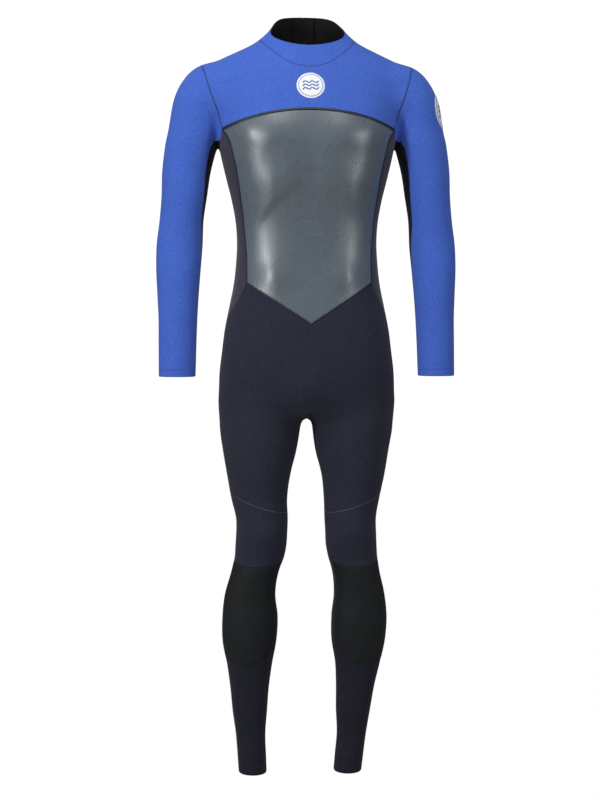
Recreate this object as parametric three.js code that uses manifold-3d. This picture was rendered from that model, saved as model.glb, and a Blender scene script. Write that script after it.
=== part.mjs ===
// Full-length back-zip wetsuit, filled out as it is when worn or hung, in millimetres.
// X runs to the wearer's left, -Y is the front and Z is up. Heights below are measured
// from the ankle hems; the finished group is moved so that its origin is the hanger point.
import * as THREE from 'three';
import { mergeVertices } from 'three/addons/utils/BufferGeometryUtils.js';
import Module from 'manifold-3d';

const wasm = await Module();
wasm.setup();

// ---------------------------------------------------------------- driving dimensions
const NEOPRENE = 3; // panel thickness
const GAP = 0.3; // clearance between neighbouring panels
const HANGER = new THREE.Vector3(0, 15, 1420); // where a hanger carries the suit
const RUN_OUT = 20; // how far the inner form runs past an open end
const SLOPE_FROM = 1330; // above this the shoulders slope, so the inner form also drops
const TORSO_SIDES = 28;
const ARM_SIDES = 12;
const LEG_SIDES = 12;

const RIDGE_Y = 15; // front and back meet here along the top of the shoulders
const THIGH_SEAM_Y = -2; // inner and outer leg seams above the knee
const SHIN_SEAM_Y = 10; // and below it
const RIM = { y: -52, z: 1444, slope: 26 }; // collar rim: front point and tilt in degrees

const CUFF_Z = 795; // end of the sleeves
const WRIST_HEM_TOP = 815;
const FOREARM_TOP = 980;
const UPPER_ARM_LOW = 1090;
const UPPER_ARM_TOP = 1210;
const HIP_LOW = 700; // the torso ends and the legs begin
const THIGH_TOP = 590;
const THIGH_LOW = 525;
const PAD_TOP = 436;
const SHIN_TOP = 385;
const PAD_LOW = 240;
const ANKLE_HEM_TOP = 40;

const ZIP = { low: 1026, high: 1476, y: 86, slot: 17, rest: 1462 };
const TAPE = { inner: 3.3, outer: 16.6, thickness: 1.5 };
const TOOTH = { inner: 0.8, outer: 3, depth: 4 };
const SLIDER = { half: 6, height: 12, plate: 1.6, neck: 0.5, opening: 4.8 };

// Each section is [z, centre x, centre y, half width, front depth, back depth, squareness].
const TORSO = [
  [712, 0, 0, 167, 84, 99, 2.05],
  [750, 0, 0, 172, 95, 108, 2.1],
  [800, 0, 0, 172, 105, 111, 2.25],
  [885, 0, 0, 161.5, 107, 98, 2.3],
  [960, 0, 0, 147, 101, 90, 2.3],
  [1040, 0, 0, 138, 97, 86, 2.3],
  [1100, 0, 0, 140, 99, 86, 2.3],
  [1170, 0, 0, 155, 109, 86, 2.3],
  [1240, 0, 0, 171, 115, 86, 2.3],
  [1310, 0, 0, 184, 106, 86, 2.2],
  [1352, 0, 0, 192, 93, 86, 2],
  [1382, 0, 0, 203, 80, 86, 1.8],
  [1401, 0, 0, 202, 72, 86, 1.7],
  [1420, 0, 0, 162, 64, 86, 1.7],
  [1440, 0, 0, 119, 56, 86, 1.9],
  [1462, 0, 0, 90, 52, 86, 2],
  [1488, 0, 0, 64, 51, 83, 2.1],
  [1512, 0, 0, 60, 52, 80, 2.1],
];
const ARM = [
  [795, 255, -16, 36, 31, 30, 2.1],
  [870, 254, -11.5, 37, 34.5, 33.5, 2.1],
  [940, 252.5, -5, 39.5, 39, 38, 2.1],
  [1004, 251.5, 0, 43.5, 43, 42, 2.1],
  [1051, 249, 4, 45, 43, 45, 2.1],
  [1099, 245, 5, 43, 45, 45, 2.1],
  [1170, 237.5, 5, 46, 49, 48.5, 2.1],
  [1241, 226, 5, 51, 52, 51, 2.1],
  [1300, 213, 6, 54, 54, 52, 2.1],
  [1350, 203.5, 8, 52.5, 52, 50, 2.1],
  [1383, 193.5, 8, 43, 42, 42, 2.1],
  [1403, 187, 8, 25, 25, 25, 2.1],
];
// The legs share their sizes. The centre line differs, because the weight is on one leg:
// [z, centre x of the right leg, centre x of the left leg, centre y, half width, front, back].
const LEG = [
  [0, -107, 84, 18, 27.5, 34, 35],
  [60, -110, 90, 18, 29.5, 34, 34],
  [130, -112.5, 95, 17, 34.5, 37, 36],
  [190, -113, 101, 15.5, 40, 41, 43],
  [235, -113, 104, 13.5, 47, 46, 51],
  [290, -112.5, 104, 10, 54.5, 51, 61],
  [345, -112, 105, 5, 52.5, 51, 63],
  [400, -104, 99, -1, 47, 50, 57],
  [460, -91, 88, -6, 51, 54, 52],
  [520, -90.5, 86.5, -5, 52, 60, 58],
  [600, -95, 92, 0, 62.5, 73, 73],
  [695, -92, 91, 4, 79.5, 84, 92],
  [770, -86, 86, 4, 80, 84, 92],
];
// Muscle and bone that fill the torso out: centre x (both sides), height, which face,
// how far it stands out, and its spread across and up.
const SWELLS = [
  { x: 78, z: 1290, face: 1, out: 14, across: 40, up: 62 },
  { x: 72, z: 1258, face: -1, out: 8, across: 46, up: 40 },
  { x: 80, z: 770, face: 1, out: 12, across: 48, up: 50 },
];

// ---------------------------------------------------------------- solids
function toSolid(geometry) {
  const bare = geometry.clone();
  bare.deleteAttribute('normal');
  bare.deleteAttribute('uv');
  const merged = mergeVertices(bare, 1e-4);
  return new wasm.Manifold(
    new wasm.Mesh({
      numProp: 3,
      vertProperties: Float32Array.from(merged.attributes.position.array),
      triVerts: Uint32Array.from(merged.index.array),
    }),
  );
}

function toGeometry(solid) {
  const mesh = solid.getMesh();
  const geometry = new THREE.BufferGeometry();
  geometry.setAttribute('position', new THREE.BufferAttribute(mesh.vertProperties, 3));
  geometry.setIndex(new THREE.BufferAttribute(mesh.triVerts, 1));
  geometry.computeVertexNormals();
  return geometry;
}

function box(xLow, xHigh, yLow, yHigh, zLow, zHigh) {
  const geometry = new THREE.BoxGeometry(xHigh - xLow, yHigh - yLow, zHigh - zLow);
  return geometry.translate((xLow + xHigh) / 2, (yLow + yHigh) / 2, (zLow + zHigh) / 2);
}

// ---------------------------------------------------------------- the worn form
function toSection([z, x, y, half, front, back, squareness]) {
  return { z, x, y, half, front, back, squareness };
}

function swellAt(x, z, face) {
  return SWELLS.filter((s) => s.face === face).reduce((sum, s) => {
    const near = Math.min(Math.abs(x - s.x), Math.abs(x + s.x)) / s.across;
    const up = (z - s.z) / s.up;
    return sum + s.out * Math.exp(-near * near - up * up);
  }, 0);
}

function power(value, exponent) {
  return Math.sign(value) * Math.abs(value) ** exponent;
}

// A closed solid through horizontal rings, lowest first.
function loft(sections, sides, swells = false) {
  const positions = [];
  const triangles = [];
  for (const s of sections) {
    for (let k = 0; k < sides; k += 1) {
      const angle = (2 * Math.PI * k) / sides;
      const x = s.x + s.half * power(Math.cos(angle), 2 / s.squareness);
      const sine = Math.sin(angle);
      const depth = sine < 0 ? s.front : s.back;
      const rise = swells ? swellAt(x, s.z, Math.sign(sine)) * sine : 0;
      positions.push(x, s.y + depth * power(sine, 2 / s.squareness) + rise, s.z);
    }
  }
  for (let i = 0; i < sections.length - 1; i += 1) {
    for (let k = 0; k < sides; k += 1) {
      const a = i * sides + k;
      const b = i * sides + ((k + 1) % sides);
      triangles.push(a, b, b + sides, a, b + sides, a + sides);
    }
  }
  const low = positions.length / 3;
  const high = low + 1;
  const first = sections[0];
  const last = sections[sections.length - 1];
  positions.push(first.x, first.y, first.z, last.x, last.y, last.z);
  const top = (sections.length - 1) * sides;
  for (let k = 0; k < sides; k += 1) {
    const next = (k + 1) % sides;
    triangles.push(low, next, k, high, top + k, top + next);
  }
  const geometry = new THREE.BufferGeometry();
  geometry.setAttribute('position', new THREE.Float32BufferAttribute(positions, 3));
  geometry.setIndex(triangles);
  return toSolid(geometry);
}

// The same rings moved in by the thickness of the neoprene, running out of the open ends.
function lining(sections, openLow, openHigh) {
  const inner = sections.map((s) => ({
    ...s,
    z: s.z > SLOPE_FROM ? s.z - NEOPRENE : s.z,
    half: s.half - NEOPRENE,
    front: s.front - NEOPRENE,
    back: s.back - NEOPRENE,
  }));
  if (openLow) inner.unshift({ ...inner[0], z: inner[0].z - RUN_OUT });
  else inner[0].z += NEOPRENE;
  if (openHigh) inner.push({ ...inner[inner.length - 1], z: inner[inner.length - 1].z + RUN_OUT });
  return inner;
}

const torso = TORSO.map(toSection);
const arms = [-1, 1].map((side) =>
  ARM.map(([z, x, ...rest]) => toSection([z, side * x, ...rest])),
);
const legs = [1, 2].map((column) =>
  LEG.map((row) => toSection([row[0], row[column], ...row.slice(3), 2])),
);

const outer = wasm.Manifold.union([
  loft(torso, TORSO_SIDES, true),
  ...arms.map((sections) => loft(sections, ARM_SIDES)),
  ...legs.map((sections) => loft(sections, LEG_SIDES)),
]);
const inner = wasm.Manifold.union([
  loft(lining(torso, false, true), TORSO_SIDES, true),
  ...arms.map((sections) => loft(lining(sections, true, false), ARM_SIDES)),
  ...legs.map((sections) => loft(lining(sections, true, false), LEG_SIDES)),
]);
const aboveRim = new THREE.BoxGeometry(500, 500, 200)
  .translate(0, 0, 100)
  .rotateX(THREE.MathUtils.degToRad(RIM.slope))
  .translate(0, RIM.y, RIM.z);
const shell = outer.subtract(inner).subtract(toSolid(aboveRim));

// ---------------------------------------------------------------- panel outlines, front view
// Outlines are lists of [x, z]. Panels that meet share the same line.
const mirrored = (line) => line.map(([x, z]) => [-x, z]);
const backwards = (line) => [...line].reverse();
const curve = (from, to, steps, height) =>
  Array.from({ length: steps + 1 }, (_, i) => {
    const x = from + ((to - from) * i) / steps;
    return [x, height(x)];
  });

const YOKE_END = 166.5;
const collarLine = curve(-100, 100, 10, (x) => 1398 + 53 * (x / 100) ** 2);
const yokeHeight = (x) => 1306 - 34 * (x / YOKE_END) ** 2;
const yokeLine = curve(-YOKE_END, YOKE_END, 12, yokeHeight);
const TAPE_WIDTH = 5.5; // binding along the top of the chest panel
const armhole = [[207, 1451], [207, 1399], [190, 1345], [175, 1305], [YOKE_END, 1272]];
const armpit = [[YOKE_END, 1272], [171, 1256], [173, 1246], [174, 1210]];
const chestSide = [[YOKE_END, 1272], [153, 1250], [141, 1200], [127, 1106], [120.5, 1034], [120.5, 977]];
const hipSeam = [[120.5, 977], [138, 940], [157, 910], [174, 880]];
const underarmSeam = [[YOKE_END, 1272], [178, 1262], [187, 1241], [194, 1210], [204, 1146], [210, 1090]];
const V_TIP = [0, 898];
const CORNER = [120.5, 977];

// Moves each side of an outline in by half the gap.
function shrunk(outline) {
  const area = outline.reduce((sum, [x, z], i) => {
    const [nextX, nextZ] = outline[(i + 1) % outline.length];
    return sum + x * nextZ - nextX * z;
  }, 0);
  const ring = area > 0 ? outline : backwards(outline);
  return ring.map(([x, z], i) => {
    const [px, pz] = ring[(i + ring.length - 1) % ring.length];
    const [nx, nz] = ring[(i + 1) % ring.length];
    const before = new THREE.Vector2(x - px, z - pz).normalize();
    const after = new THREE.Vector2(nx - x, nz - z).normalize();
    const inward = new THREE.Vector2(-before.y - after.y, before.x + after.x).normalize();
    const reach = GAP / 2 / Math.max(0.3, inward.dot(new THREE.Vector2(-before.y, before.x)));
    return [x + inward.x * reach, z + inward.y * reach];
  });
}

// The prism of an outline between two depths.
function region(outline, yLow = -300, yHigh = 300, gap = true) {
  const points = (gap ? shrunk(outline) : outline).map(([x, z]) => new THREE.Vector2(x, z));
  const geometry = new THREE.ExtrudeGeometry(new THREE.Shape(points), {
    depth: yHigh - yLow,
    bevelEnabled: false,
  });
  return toSolid(geometry.rotateX(Math.PI / 2).translate(0, yHigh, 0));
}

const band = (xLow, xHigh, zLow, zHigh) => [[xLow, zLow], [xHigh, zLow], [xHigh, zHigh], [xLow, zHigh]];
const piece = (outline, yLow, yHigh) => shell.intersect(region(outline, yLow, yHigh));
const FRONT = [-300, -GAP / 2];
const BACK = [GAP / 2, 300];

// ---------------------------------------------------------------- finishes
const finish = (color, roughness, metalness = 0) => ({ color, roughness, metalness });
const BLUE = finish(0x466ecf, 0.75);
const GREY_SKIN = finish(0x505a62, 0.35);
const NAVY = finish(0x30333f, 0.8);
const NAVY_SIDE = finish(0x3c3a48, 0.8);
const BLACK = finish(0x1f2329, 0.85);
const WEBBING = finish(0x17181c, 0.9);
const RESIN = finish(0x101114, 0.4);
const PRINT = finish(0xe8ebef, 0.6);

const suit = new THREE.Group();

function add(name, geometry, look) {
  const material = new THREE.MeshStandardMaterial(look);
  const mesh = new THREE.Mesh(geometry, material);
  mesh.name = name;
  suit.add(mesh);
}

const addSolid = (name, solid, look) => add(name, toGeometry(solid), look);

// ---------------------------------------------------------------- torso
const shoulderTop = (line) => [[-207, 1451], ...line, [207, 1451]];
const collarTop = [[-130, 1451], ...collarLine, [130, 1451], [130, 1560], [-130, 1560]];
const zipSlot = toSolid(box(-ZIP.slot, ZIP.slot, 40, 200, ZIP.low - 2, ZIP.high + 2));
const collarSlit = toSolid(box(-2, 2, 40, 200, ZIP.high, 1600));
const collar = shell
  .intersect(
    region(collarTop, -300, RIDGE_Y).add(
      region(band(-130, 130, 1451, 1560), RIDGE_Y - 1, 300),
    ),
  )
  .subtract(zipSlot)
  .subtract(collarSlit);
addSolid('collar', collar, BLUE);

const tapeBand = (halfWidth) => [
  ...yokeLine.map(([x, z]) => [x, z + halfWidth]),
  ...backwards(yokeLine.map(([x, z]) => [x, z - halfWidth])),
];
const tapeCut = region(tapeBand(TAPE_WIDTH / 2 + GAP / 2), -300, 0, false);
addSolid('chest_seam_tape', piece(tapeBand(TAPE_WIDTH / 2), ...FRONT), NAVY);

const yokeOutline = [
  ...shoulderTop(collarLine),
  ...armhole.slice(1, -1),
  ...backwards(yokeLine),
  ...backwards(mirrored(armhole.slice(1, -1))),
];
const frontYoke = piece(yokeOutline, -300, RIDGE_Y - GAP / 2);
addSolid('front_yoke', frontYoke.subtract(tapeCut), BLUE);

const chestOutline = [
  ...yokeLine,
  ...chestSide.slice(1),
  V_TIP,
  ...backwards(mirrored(chestSide.slice(1))),
];
addSolid('chest_panel', piece(chestOutline, ...FRONT).subtract(tapeCut), GREY_SKIN);

const gussetBox = band(-22, 22, 690, 735);
const hipOutline = [
  V_TIP,
  ...hipSeam,
  [200, 860],
  [200, HIP_LOW],
  [-200, HIP_LOW],
  [-200, 860],
  ...backwards(mirrored(hipSeam)),
];
const gussetCut = region(gussetBox, -58, 60, false);
addSolid('front_hip_panel', piece(hipOutline, ...FRONT).subtract(gussetCut), NAVY);
addSolid('seat_panel', piece(hipOutline, ...BACK).subtract(gussetCut), NAVY);
const gusset = shell.intersect(
  region(band(-22, 22, HIP_LOW, 735), -58 + GAP, 60 - GAP),
);
addSolid('crotch_gusset', gusset, BLACK);

const SIDES = [
  { name: 'right', flip: mirrored, sign: -1, legs: 0 },
  { name: 'left', flip: (line) => line, sign: 1, legs: 1 },
];
const backYokeOutline = [
  [0, 1451],
  ...armhole.slice(0, -1),
  ...backwards(curve(0, YOKE_END, 6, yokeHeight)),
];
const backOutline = [
  ...curve(0, YOKE_END, 6, yokeHeight),
  ...chestSide.slice(1),
  V_TIP,
];
const sideOutline = [...chestSide, ...hipSeam.slice(1), ...backwards(armpit.slice(1))];
for (const { name, flip } of SIDES) {
  const backYoke = piece(flip(backYokeOutline), RIDGE_Y + GAP / 2, 300);
  addSolid(`back_yoke_${name}`, backYoke.subtract(zipSlot), BLUE);
  addSolid(`back_panel_${name}`, piece(flip(backOutline), ...BACK).subtract(zipSlot), NAVY);
  addSolid(`side_panel_${name}`, piece(flip(sideOutline)).subtract(tapeCut), NAVY_SIDE);
}

// ---------------------------------------------------------------- sleeves
const OUTSIDE = 330;
const capOutline = [
  ...armhole,
  ...underarmSeam.slice(1, 4),
  [OUTSIDE, UPPER_ARM_TOP],
  [OUTSIDE, 1451],
];
const underarmTop = [...armpit, ...backwards(underarmSeam.slice(1, 4))];
const upperOutline = [...underarmSeam.slice(3), [OUTSIDE, UPPER_ARM_LOW], [OUTSIDE, UPPER_ARM_TOP]];
const underarmLow = [
  [174, UPPER_ARM_TOP],
  [174, UPPER_ARM_LOW],
  ...backwards(underarmSeam.slice(3)),
];
for (const { name, flip } of SIDES) {
  addSolid(`sleeve_cap_${name}`, piece(flip(capOutline)), BLUE);
  addSolid(`underarm_gusset_${name}`, piece(flip(underarmTop)), BLACK);
  addSolid(`upper_sleeve_${name}`, piece(flip(upperOutline)), BLUE);
  addSolid(`underarm_panel_${name}`, piece(flip(underarmLow)), BLACK);
  const rings = [
    ['elbow_sleeve', FOREARM_TOP, UPPER_ARM_LOW],
    ['forearm_sleeve', WRIST_HEM_TOP, FOREARM_TOP],
    ['wrist_hem', CUFF_Z - RUN_OUT, WRIST_HEM_TOP],
  ];
  for (const [part, low, high] of rings) {
    addSolid(`${part}_${name}`, piece(flip(band(180, OUTSIDE, low, high))), BLUE);
  }
}

// ---------------------------------------------------------------- legs
const THIGH_FRONT = [-300, THIGH_SEAM_Y - GAP / 2];
const THIGH_BACK = [THIGH_SEAM_Y + GAP / 2, 300];
const SHIN_FRONT = [-300, SHIN_SEAM_Y - GAP / 2];
const SHIN_BACK = [SHIN_SEAM_Y + GAP / 2, 300];
const legPieces = [
  ['hip_front', THIGH_TOP, HIP_LOW, THIGH_FRONT, NAVY],
  ['hip_back', THIGH_TOP, HIP_LOW, THIGH_BACK, NAVY],
  ['thigh_front', THIGH_LOW, THIGH_TOP, THIGH_FRONT, NAVY],
  ['thigh_back', THIGH_LOW, THIGH_TOP, THIGH_BACK, NAVY],
  ['knee_front', PAD_TOP, THIGH_LOW, THIGH_FRONT, NAVY],
  ['knee_back', SHIN_TOP, THIGH_LOW, THIGH_BACK, NAVY],
  ['knee_pad_upper', SHIN_TOP, PAD_TOP, THIGH_FRONT, BLACK],
  ['knee_pad_lower', PAD_LOW, SHIN_TOP, SHIN_FRONT, BLACK],
  ['shin_front', ANKLE_HEM_TOP, PAD_LOW, SHIN_FRONT, BLACK],
  ['calf_back', ANKLE_HEM_TOP, SHIN_TOP, SHIN_BACK, BLACK],
  ['ankle_hem', -RUN_OUT, ANKLE_HEM_TOP, [-300, 300], BLACK],
];
for (const { name, flip } of SIDES) {
  for (const [part, low, high, depths, look] of legPieces) {
    addSolid(`${part}_${name}`, piece(flip(band(0, 220, low, high)), ...depths), look);
  }
}

// ---------------------------------------------------------------- back zip
for (const { name, sign } of SIDES) {
  const across = (a, b) => [Math.min(sign * a, sign * b), Math.max(sign * a, sign * b)];
  const tape = box(
    ...across(TAPE.inner, TAPE.outer),
    ZIP.y - TAPE.thickness - 0.3,
    ZIP.y - 0.3,
    ZIP.low,
    ZIP.high,
  );
  add(`zip_tape_${name}`, tape, WEBBING);
  const teeth = box(
    ...across(TOOTH.inner, TOOTH.outer),
    ZIP.y - 1 - TOOTH.depth / 2,
    ZIP.y - 1 + TOOTH.depth / 2,
    ZIP.low + 4,
    ZIP.high - 2,
  );
  add(`zip_teeth_${name}`, teeth, RESIN);
}
add('zip_bottom_stop', box(-3, 3, ZIP.y - 3, ZIP.y + 1.4, ZIP.low - 1.6, ZIP.low + 3.6), RESIN);
add('zip_flap', box(-22, 22, ZIP.y - 13, ZIP.y - 10, ZIP.low + 6, ZIP.high - 6), WEBBING);

// The slider is two plates joined by a thin neck that runs between the rows of teeth, with
// an arch outside that the puller's ring hangs in.
const halfOpening = SLIDER.opening / 2;
const toothY = ZIP.y - 1;
const outside = toothY + halfOpening;
const sliderLow = ZIP.rest - SLIDER.height / 2;
const sliderHigh = ZIP.rest + SLIDER.height / 2;
const ARCH = { half: 1.2, feet: 4.4, thick: 1, clear: 3.2 };
const innerPlate = toothY - halfOpening;
const archTop = outside + SLIDER.plate + ARCH.clear;
const sliderBlocks = [
  box(-SLIDER.half, SLIDER.half, outside, outside + SLIDER.plate, sliderLow, sliderHigh),
  box(-SLIDER.half, SLIDER.half, innerPlate - SLIDER.plate, innerPlate, sliderLow, sliderHigh),
  box(-SLIDER.neck, SLIDER.neck, innerPlate - 0.5, outside + 0.5, sliderLow + 1, sliderHigh - 1),
  box(-ARCH.half, ARCH.half, archTop - ARCH.thick, archTop, ZIP.rest - ARCH.feet, ZIP.rest + ARCH.feet),
];
for (const foot of [-ARCH.feet, ARCH.feet]) {
  const low = ZIP.rest + foot - ARCH.thick / 2;
  sliderBlocks.push(box(-ARCH.half, ARCH.half, outside + 1, archTop, low, low + ARCH.thick));
}
const slider = wasm.Manifold.union(sliderBlocks.map(toSolid));
addSolid('zip_slider', slider, RESIN);

// The puller: a flat tab with a window. Its top bar lies under the slider's arch.
const PULLER = { half: 5, bar: 0.6, window: 3.4, windowLow: -8.5, length: 34, thick: 1.2 };
const pullerShape = new THREE.Shape();
pullerShape.moveTo(-PULLER.half + 1, PULLER.bar);
pullerShape.lineTo(PULLER.half - 1, PULLER.bar);
pullerShape.lineTo(PULLER.half, -6);
pullerShape.lineTo(PULLER.half, -PULLER.length + 3);
pullerShape.lineTo(PULLER.half - 3, -PULLER.length);
pullerShape.lineTo(-PULLER.half + 3, -PULLER.length);
pullerShape.lineTo(-PULLER.half, -PULLER.length + 3);
pullerShape.lineTo(-PULLER.half, -6);
const pullerWindow = new THREE.Path();
pullerWindow.moveTo(-PULLER.window + 1, -PULLER.bar);
pullerWindow.lineTo(-PULLER.window, PULLER.windowLow);
pullerWindow.lineTo(PULLER.window, PULLER.windowLow);
pullerWindow.lineTo(PULLER.window - 1, -PULLER.bar);
pullerShape.holes.push(pullerWindow);
const PULLER_Y = outside + SLIDER.plate + 1.1; // hinge axis, under the arch
const puller = new THREE.ExtrudeGeometry(pullerShape, { depth: PULLER.thick, bevelEnabled: false })
  .rotateX(Math.PI / 2)
  .translate(0, PULLER_Y + PULLER.thick / 2, ZIP.rest + 2);
add('zip_puller', puller, RESIN);

// A curved strap that closes the collar over the top of the zip. It turns about its right end.
const TAB = { from: -34, to: 30, low: 1482, high: 1499, half: 73, back: 84.6, thick: 2.2 };
const tabEdge = (x, away) =>
  (TAB.back + away) * Math.sqrt(1 - (x / (TAB.half + away)) ** 2);
const tabInner = curve(TAB.from, TAB.to, 8, (x) => tabEdge(x, 0));
const tabOuter = backwards(curve(TAB.from, TAB.to, 8, (x) => tabEdge(x, TAB.thick)));
const tabShape = new THREE.Shape([...tabInner, ...tabOuter].map(([x, y]) => new THREE.Vector2(x, y)));
const tab = new THREE.ExtrudeGeometry(tabShape, { depth: TAB.high - TAB.low, bevelEnabled: false });
add('collar_tab', tab.translate(0, 0, TAB.low), WEBBING);

// ---------------------------------------------------------------- badge
// A thin printed disc on the chest, above the binding.
const BADGE = { radius: 27, thick: 0.8, y: -94.6, z: 1352, lean: 20 };
const badge = new THREE.CylinderGeometry(BADGE.radius, BADGE.radius, BADGE.thick, 24);
badge.rotateX(-THREE.MathUtils.degToRad(BADGE.lean)).translate(0, BADGE.y, BADGE.z);
add('chest_badge', badge, PRINT);

suit.position.copy(HANGER).negate();
const part = new THREE.Group();
part.add(suit);

export default part;
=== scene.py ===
import math

import bmesh
import bpy
import numpy as np
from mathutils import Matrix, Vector


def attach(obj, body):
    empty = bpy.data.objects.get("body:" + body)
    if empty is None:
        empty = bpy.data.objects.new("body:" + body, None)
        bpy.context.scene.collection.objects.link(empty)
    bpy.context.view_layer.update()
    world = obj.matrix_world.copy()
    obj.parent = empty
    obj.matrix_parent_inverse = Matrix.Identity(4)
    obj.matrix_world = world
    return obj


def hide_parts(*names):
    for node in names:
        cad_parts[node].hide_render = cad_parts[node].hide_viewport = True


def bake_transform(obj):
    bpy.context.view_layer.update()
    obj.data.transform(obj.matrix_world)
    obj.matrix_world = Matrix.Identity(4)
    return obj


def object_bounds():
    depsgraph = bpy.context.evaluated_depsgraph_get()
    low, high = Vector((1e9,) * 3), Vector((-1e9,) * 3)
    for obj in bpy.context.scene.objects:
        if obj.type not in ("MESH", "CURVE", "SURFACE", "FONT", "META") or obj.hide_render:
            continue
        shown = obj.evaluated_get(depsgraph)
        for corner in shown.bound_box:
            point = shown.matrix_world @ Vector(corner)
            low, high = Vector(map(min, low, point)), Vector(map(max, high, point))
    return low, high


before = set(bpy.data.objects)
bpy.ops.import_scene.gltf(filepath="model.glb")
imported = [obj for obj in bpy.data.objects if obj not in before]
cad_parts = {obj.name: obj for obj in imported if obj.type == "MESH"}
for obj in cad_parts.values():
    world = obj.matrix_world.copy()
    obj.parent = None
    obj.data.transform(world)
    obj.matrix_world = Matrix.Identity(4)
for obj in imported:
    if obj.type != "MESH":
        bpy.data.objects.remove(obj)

cad_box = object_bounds()

# ---------------------------------------------------------------------------------------
# The studio: white paper under the suit and white walls round it, a tall strip light each
# side for the shine of the rubber, wide soft lights above, in front and behind, and a camera.
# ---------------------------------------------------------------------------------------
HEM_Z = cad_box[0].z  # the ankle hems, the lowest edge of the suit
HANGER_Z = -HEM_Z * 1000  # height of the hanger point above the hems, mm
HANGER_Y = 15.0  # the hanger point lies this far behind the middle of the body, mm


def linear(hex_colour):
    """An sRGB hex colour as linear RGBA."""
    channels = [int(hex_colour[i : i + 2], 16) / 255 for i in (1, 3, 5)]
    return [c / 12.92 if c <= 0.04045 else ((c + 0.055) / 1.055) ** 2.4 for c in channels] + [1.0]


def node(tree, kind, settings=None, links=None):
    """Adds one shader node, sets its properties, sockets or colour stops, links its inputs."""
    made = tree.nodes.new(kind)
    for key, value in (settings or {}).items():
        if key == "stops":
            ramp = made.color_ramp.elements
            for end in (0, -1):
                ramp[end].position, ramp[end].color = value[end][0], linear(value[end][1])
            for position, colour in value[1:-1]:
                ramp.new(position).color = linear(colour)
        elif isinstance(key, str) and hasattr(made, key):
            setattr(made, key, value)
        else:
            made.inputs[key].default_value = value
    for key, source in (links or {}).items():
        tree.links.new(source, made.inputs[key])
    return made


def new_material(name):
    """A material, its node tree, and the link that lays a pattern out in metres."""
    material = bpy.data.materials.new(name)
    material.use_nodes = True
    tree = material.node_tree
    tree.nodes.clear()
    return material, tree, {"Vector": node(tree, "ShaderNodeTexCoord").outputs["Object"]}


def floor_paper():
    """Matt white paper, burnt out to plain white in the picture but a soft grey reflector
    to everything above it."""
    material, tree, _ = new_material("floor_paper")
    grain = node(tree, "ShaderNodeTexNoise", {"Scale": 40.0, "Detail": 2.0})
    tone = node(tree, "ShaderNodeMapRange", {3: 0.4, 4: 0.44}, {0: grain.outputs["Fac"]})
    seen = node(tree, "ShaderNodeLightPath")
    paper = node(tree, "ShaderNodeBsdfDiffuse", links={"Color": tone.outputs[0]})
    white = node(tree, "ShaderNodeEmission", {"Color": linear("#FFFFFF"), "Strength": 1.0})
    both = node(
        tree,
        "ShaderNodeMixShader",
        links={0: seen.outputs["Is Camera Ray"], 1: paper.outputs[0], 2: white.outputs[0]},
    )
    node(tree, "ShaderNodeOutputMaterial", links={"Surface": both.outputs[0]})
    return material


FLOOR_DROP, FLOOR_REACH, FLOOR_SIDES = 0.04, 14.0, 64  # clear of the hems and across, m
floor_z = HEM_Z - FLOOR_DROP
floor_mesh = bpy.data.meshes.new("floor")
turns = np.linspace(0, math.tau, FLOOR_SIDES + 1)[:-1]
ring = [(FLOOR_REACH * math.cos(a), FLOOR_REACH * math.sin(a), floor_z) for a in turns]
floor_mesh.from_pydata(ring, [], [tuple(range(FLOOR_SIDES))])
floor = bpy.data.objects.new("floor", floor_mesh)
bpy.context.scene.collection.objects.link(floor)
floor.data.materials.append(floor_paper())

# The walls are white and bright behind the suit, and light it more gently than they look.
world = bpy.data.worlds.new("studio")
world.use_nodes = True
world.node_tree.nodes.clear()
seen = node(world.node_tree, "ShaderNodeLightPath")
walls = node(world.node_tree, "ShaderNodeBackground", {"Color": linear("#FFFFFF"), "Strength": 1.05})
glow = node(world.node_tree, "ShaderNodeBackground", {"Color": linear("#F3F6FF"), "Strength": 0.12})
both = node(
    world.node_tree,
    "ShaderNodeMixShader",
    links={0: seen.outputs["Is Camera Ray"], 1: glow.outputs[0], 2: walls.outputs[0]},
)
node(world.node_tree, "ShaderNodeOutputWorld", links={"Surface": both.outputs[0]})
bpy.context.scene.world = world
bpy.context.scene.view_settings.view_transform = "Standard"


def softbox(name, place, aim, size, power):
    data = bpy.data.lights.new(name, "AREA")
    data.shape = "RECTANGLE"
    data.size, data.size_y = size
    data.energy = power
    lamp = bpy.data.objects.new(name, data)
    lamp.location = place
    direction = np.array(aim) - np.array(place)
    lamp.rotation_mode = "QUATERNION"
    lamp.rotation_quaternion = Vector(direction).to_track_quat("-Z", "Y")
    bpy.context.scene.collection.objects.link(lamp)


# place, what it is aimed at, width and height in metres, watts
CHEST, SHINS, HIPS = (0.0, -0.1, -0.25), (0, 0, -0.7), (0, 0, -0.5)
softbox("key_strip", (-2.45, -2.05, 0.1), CHEST, (0.3, 1.4), 48)
softbox("fill_strip", (2.45, -2.05, 0.1), CHEST, (0.24, 1.4), 18)
softbox("top_bank", (-0.2, -1.3, 2.3), CHEST, (2.4, 1.6), 49)
softbox("front_bank", (0.2, -4.4, 1.4), SHINS, (2.6, 2.2), 6)
softbox("back_bank", (-0.4, 3.6, 1.2), HIPS, (2.4, 2.2), 18)

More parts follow.
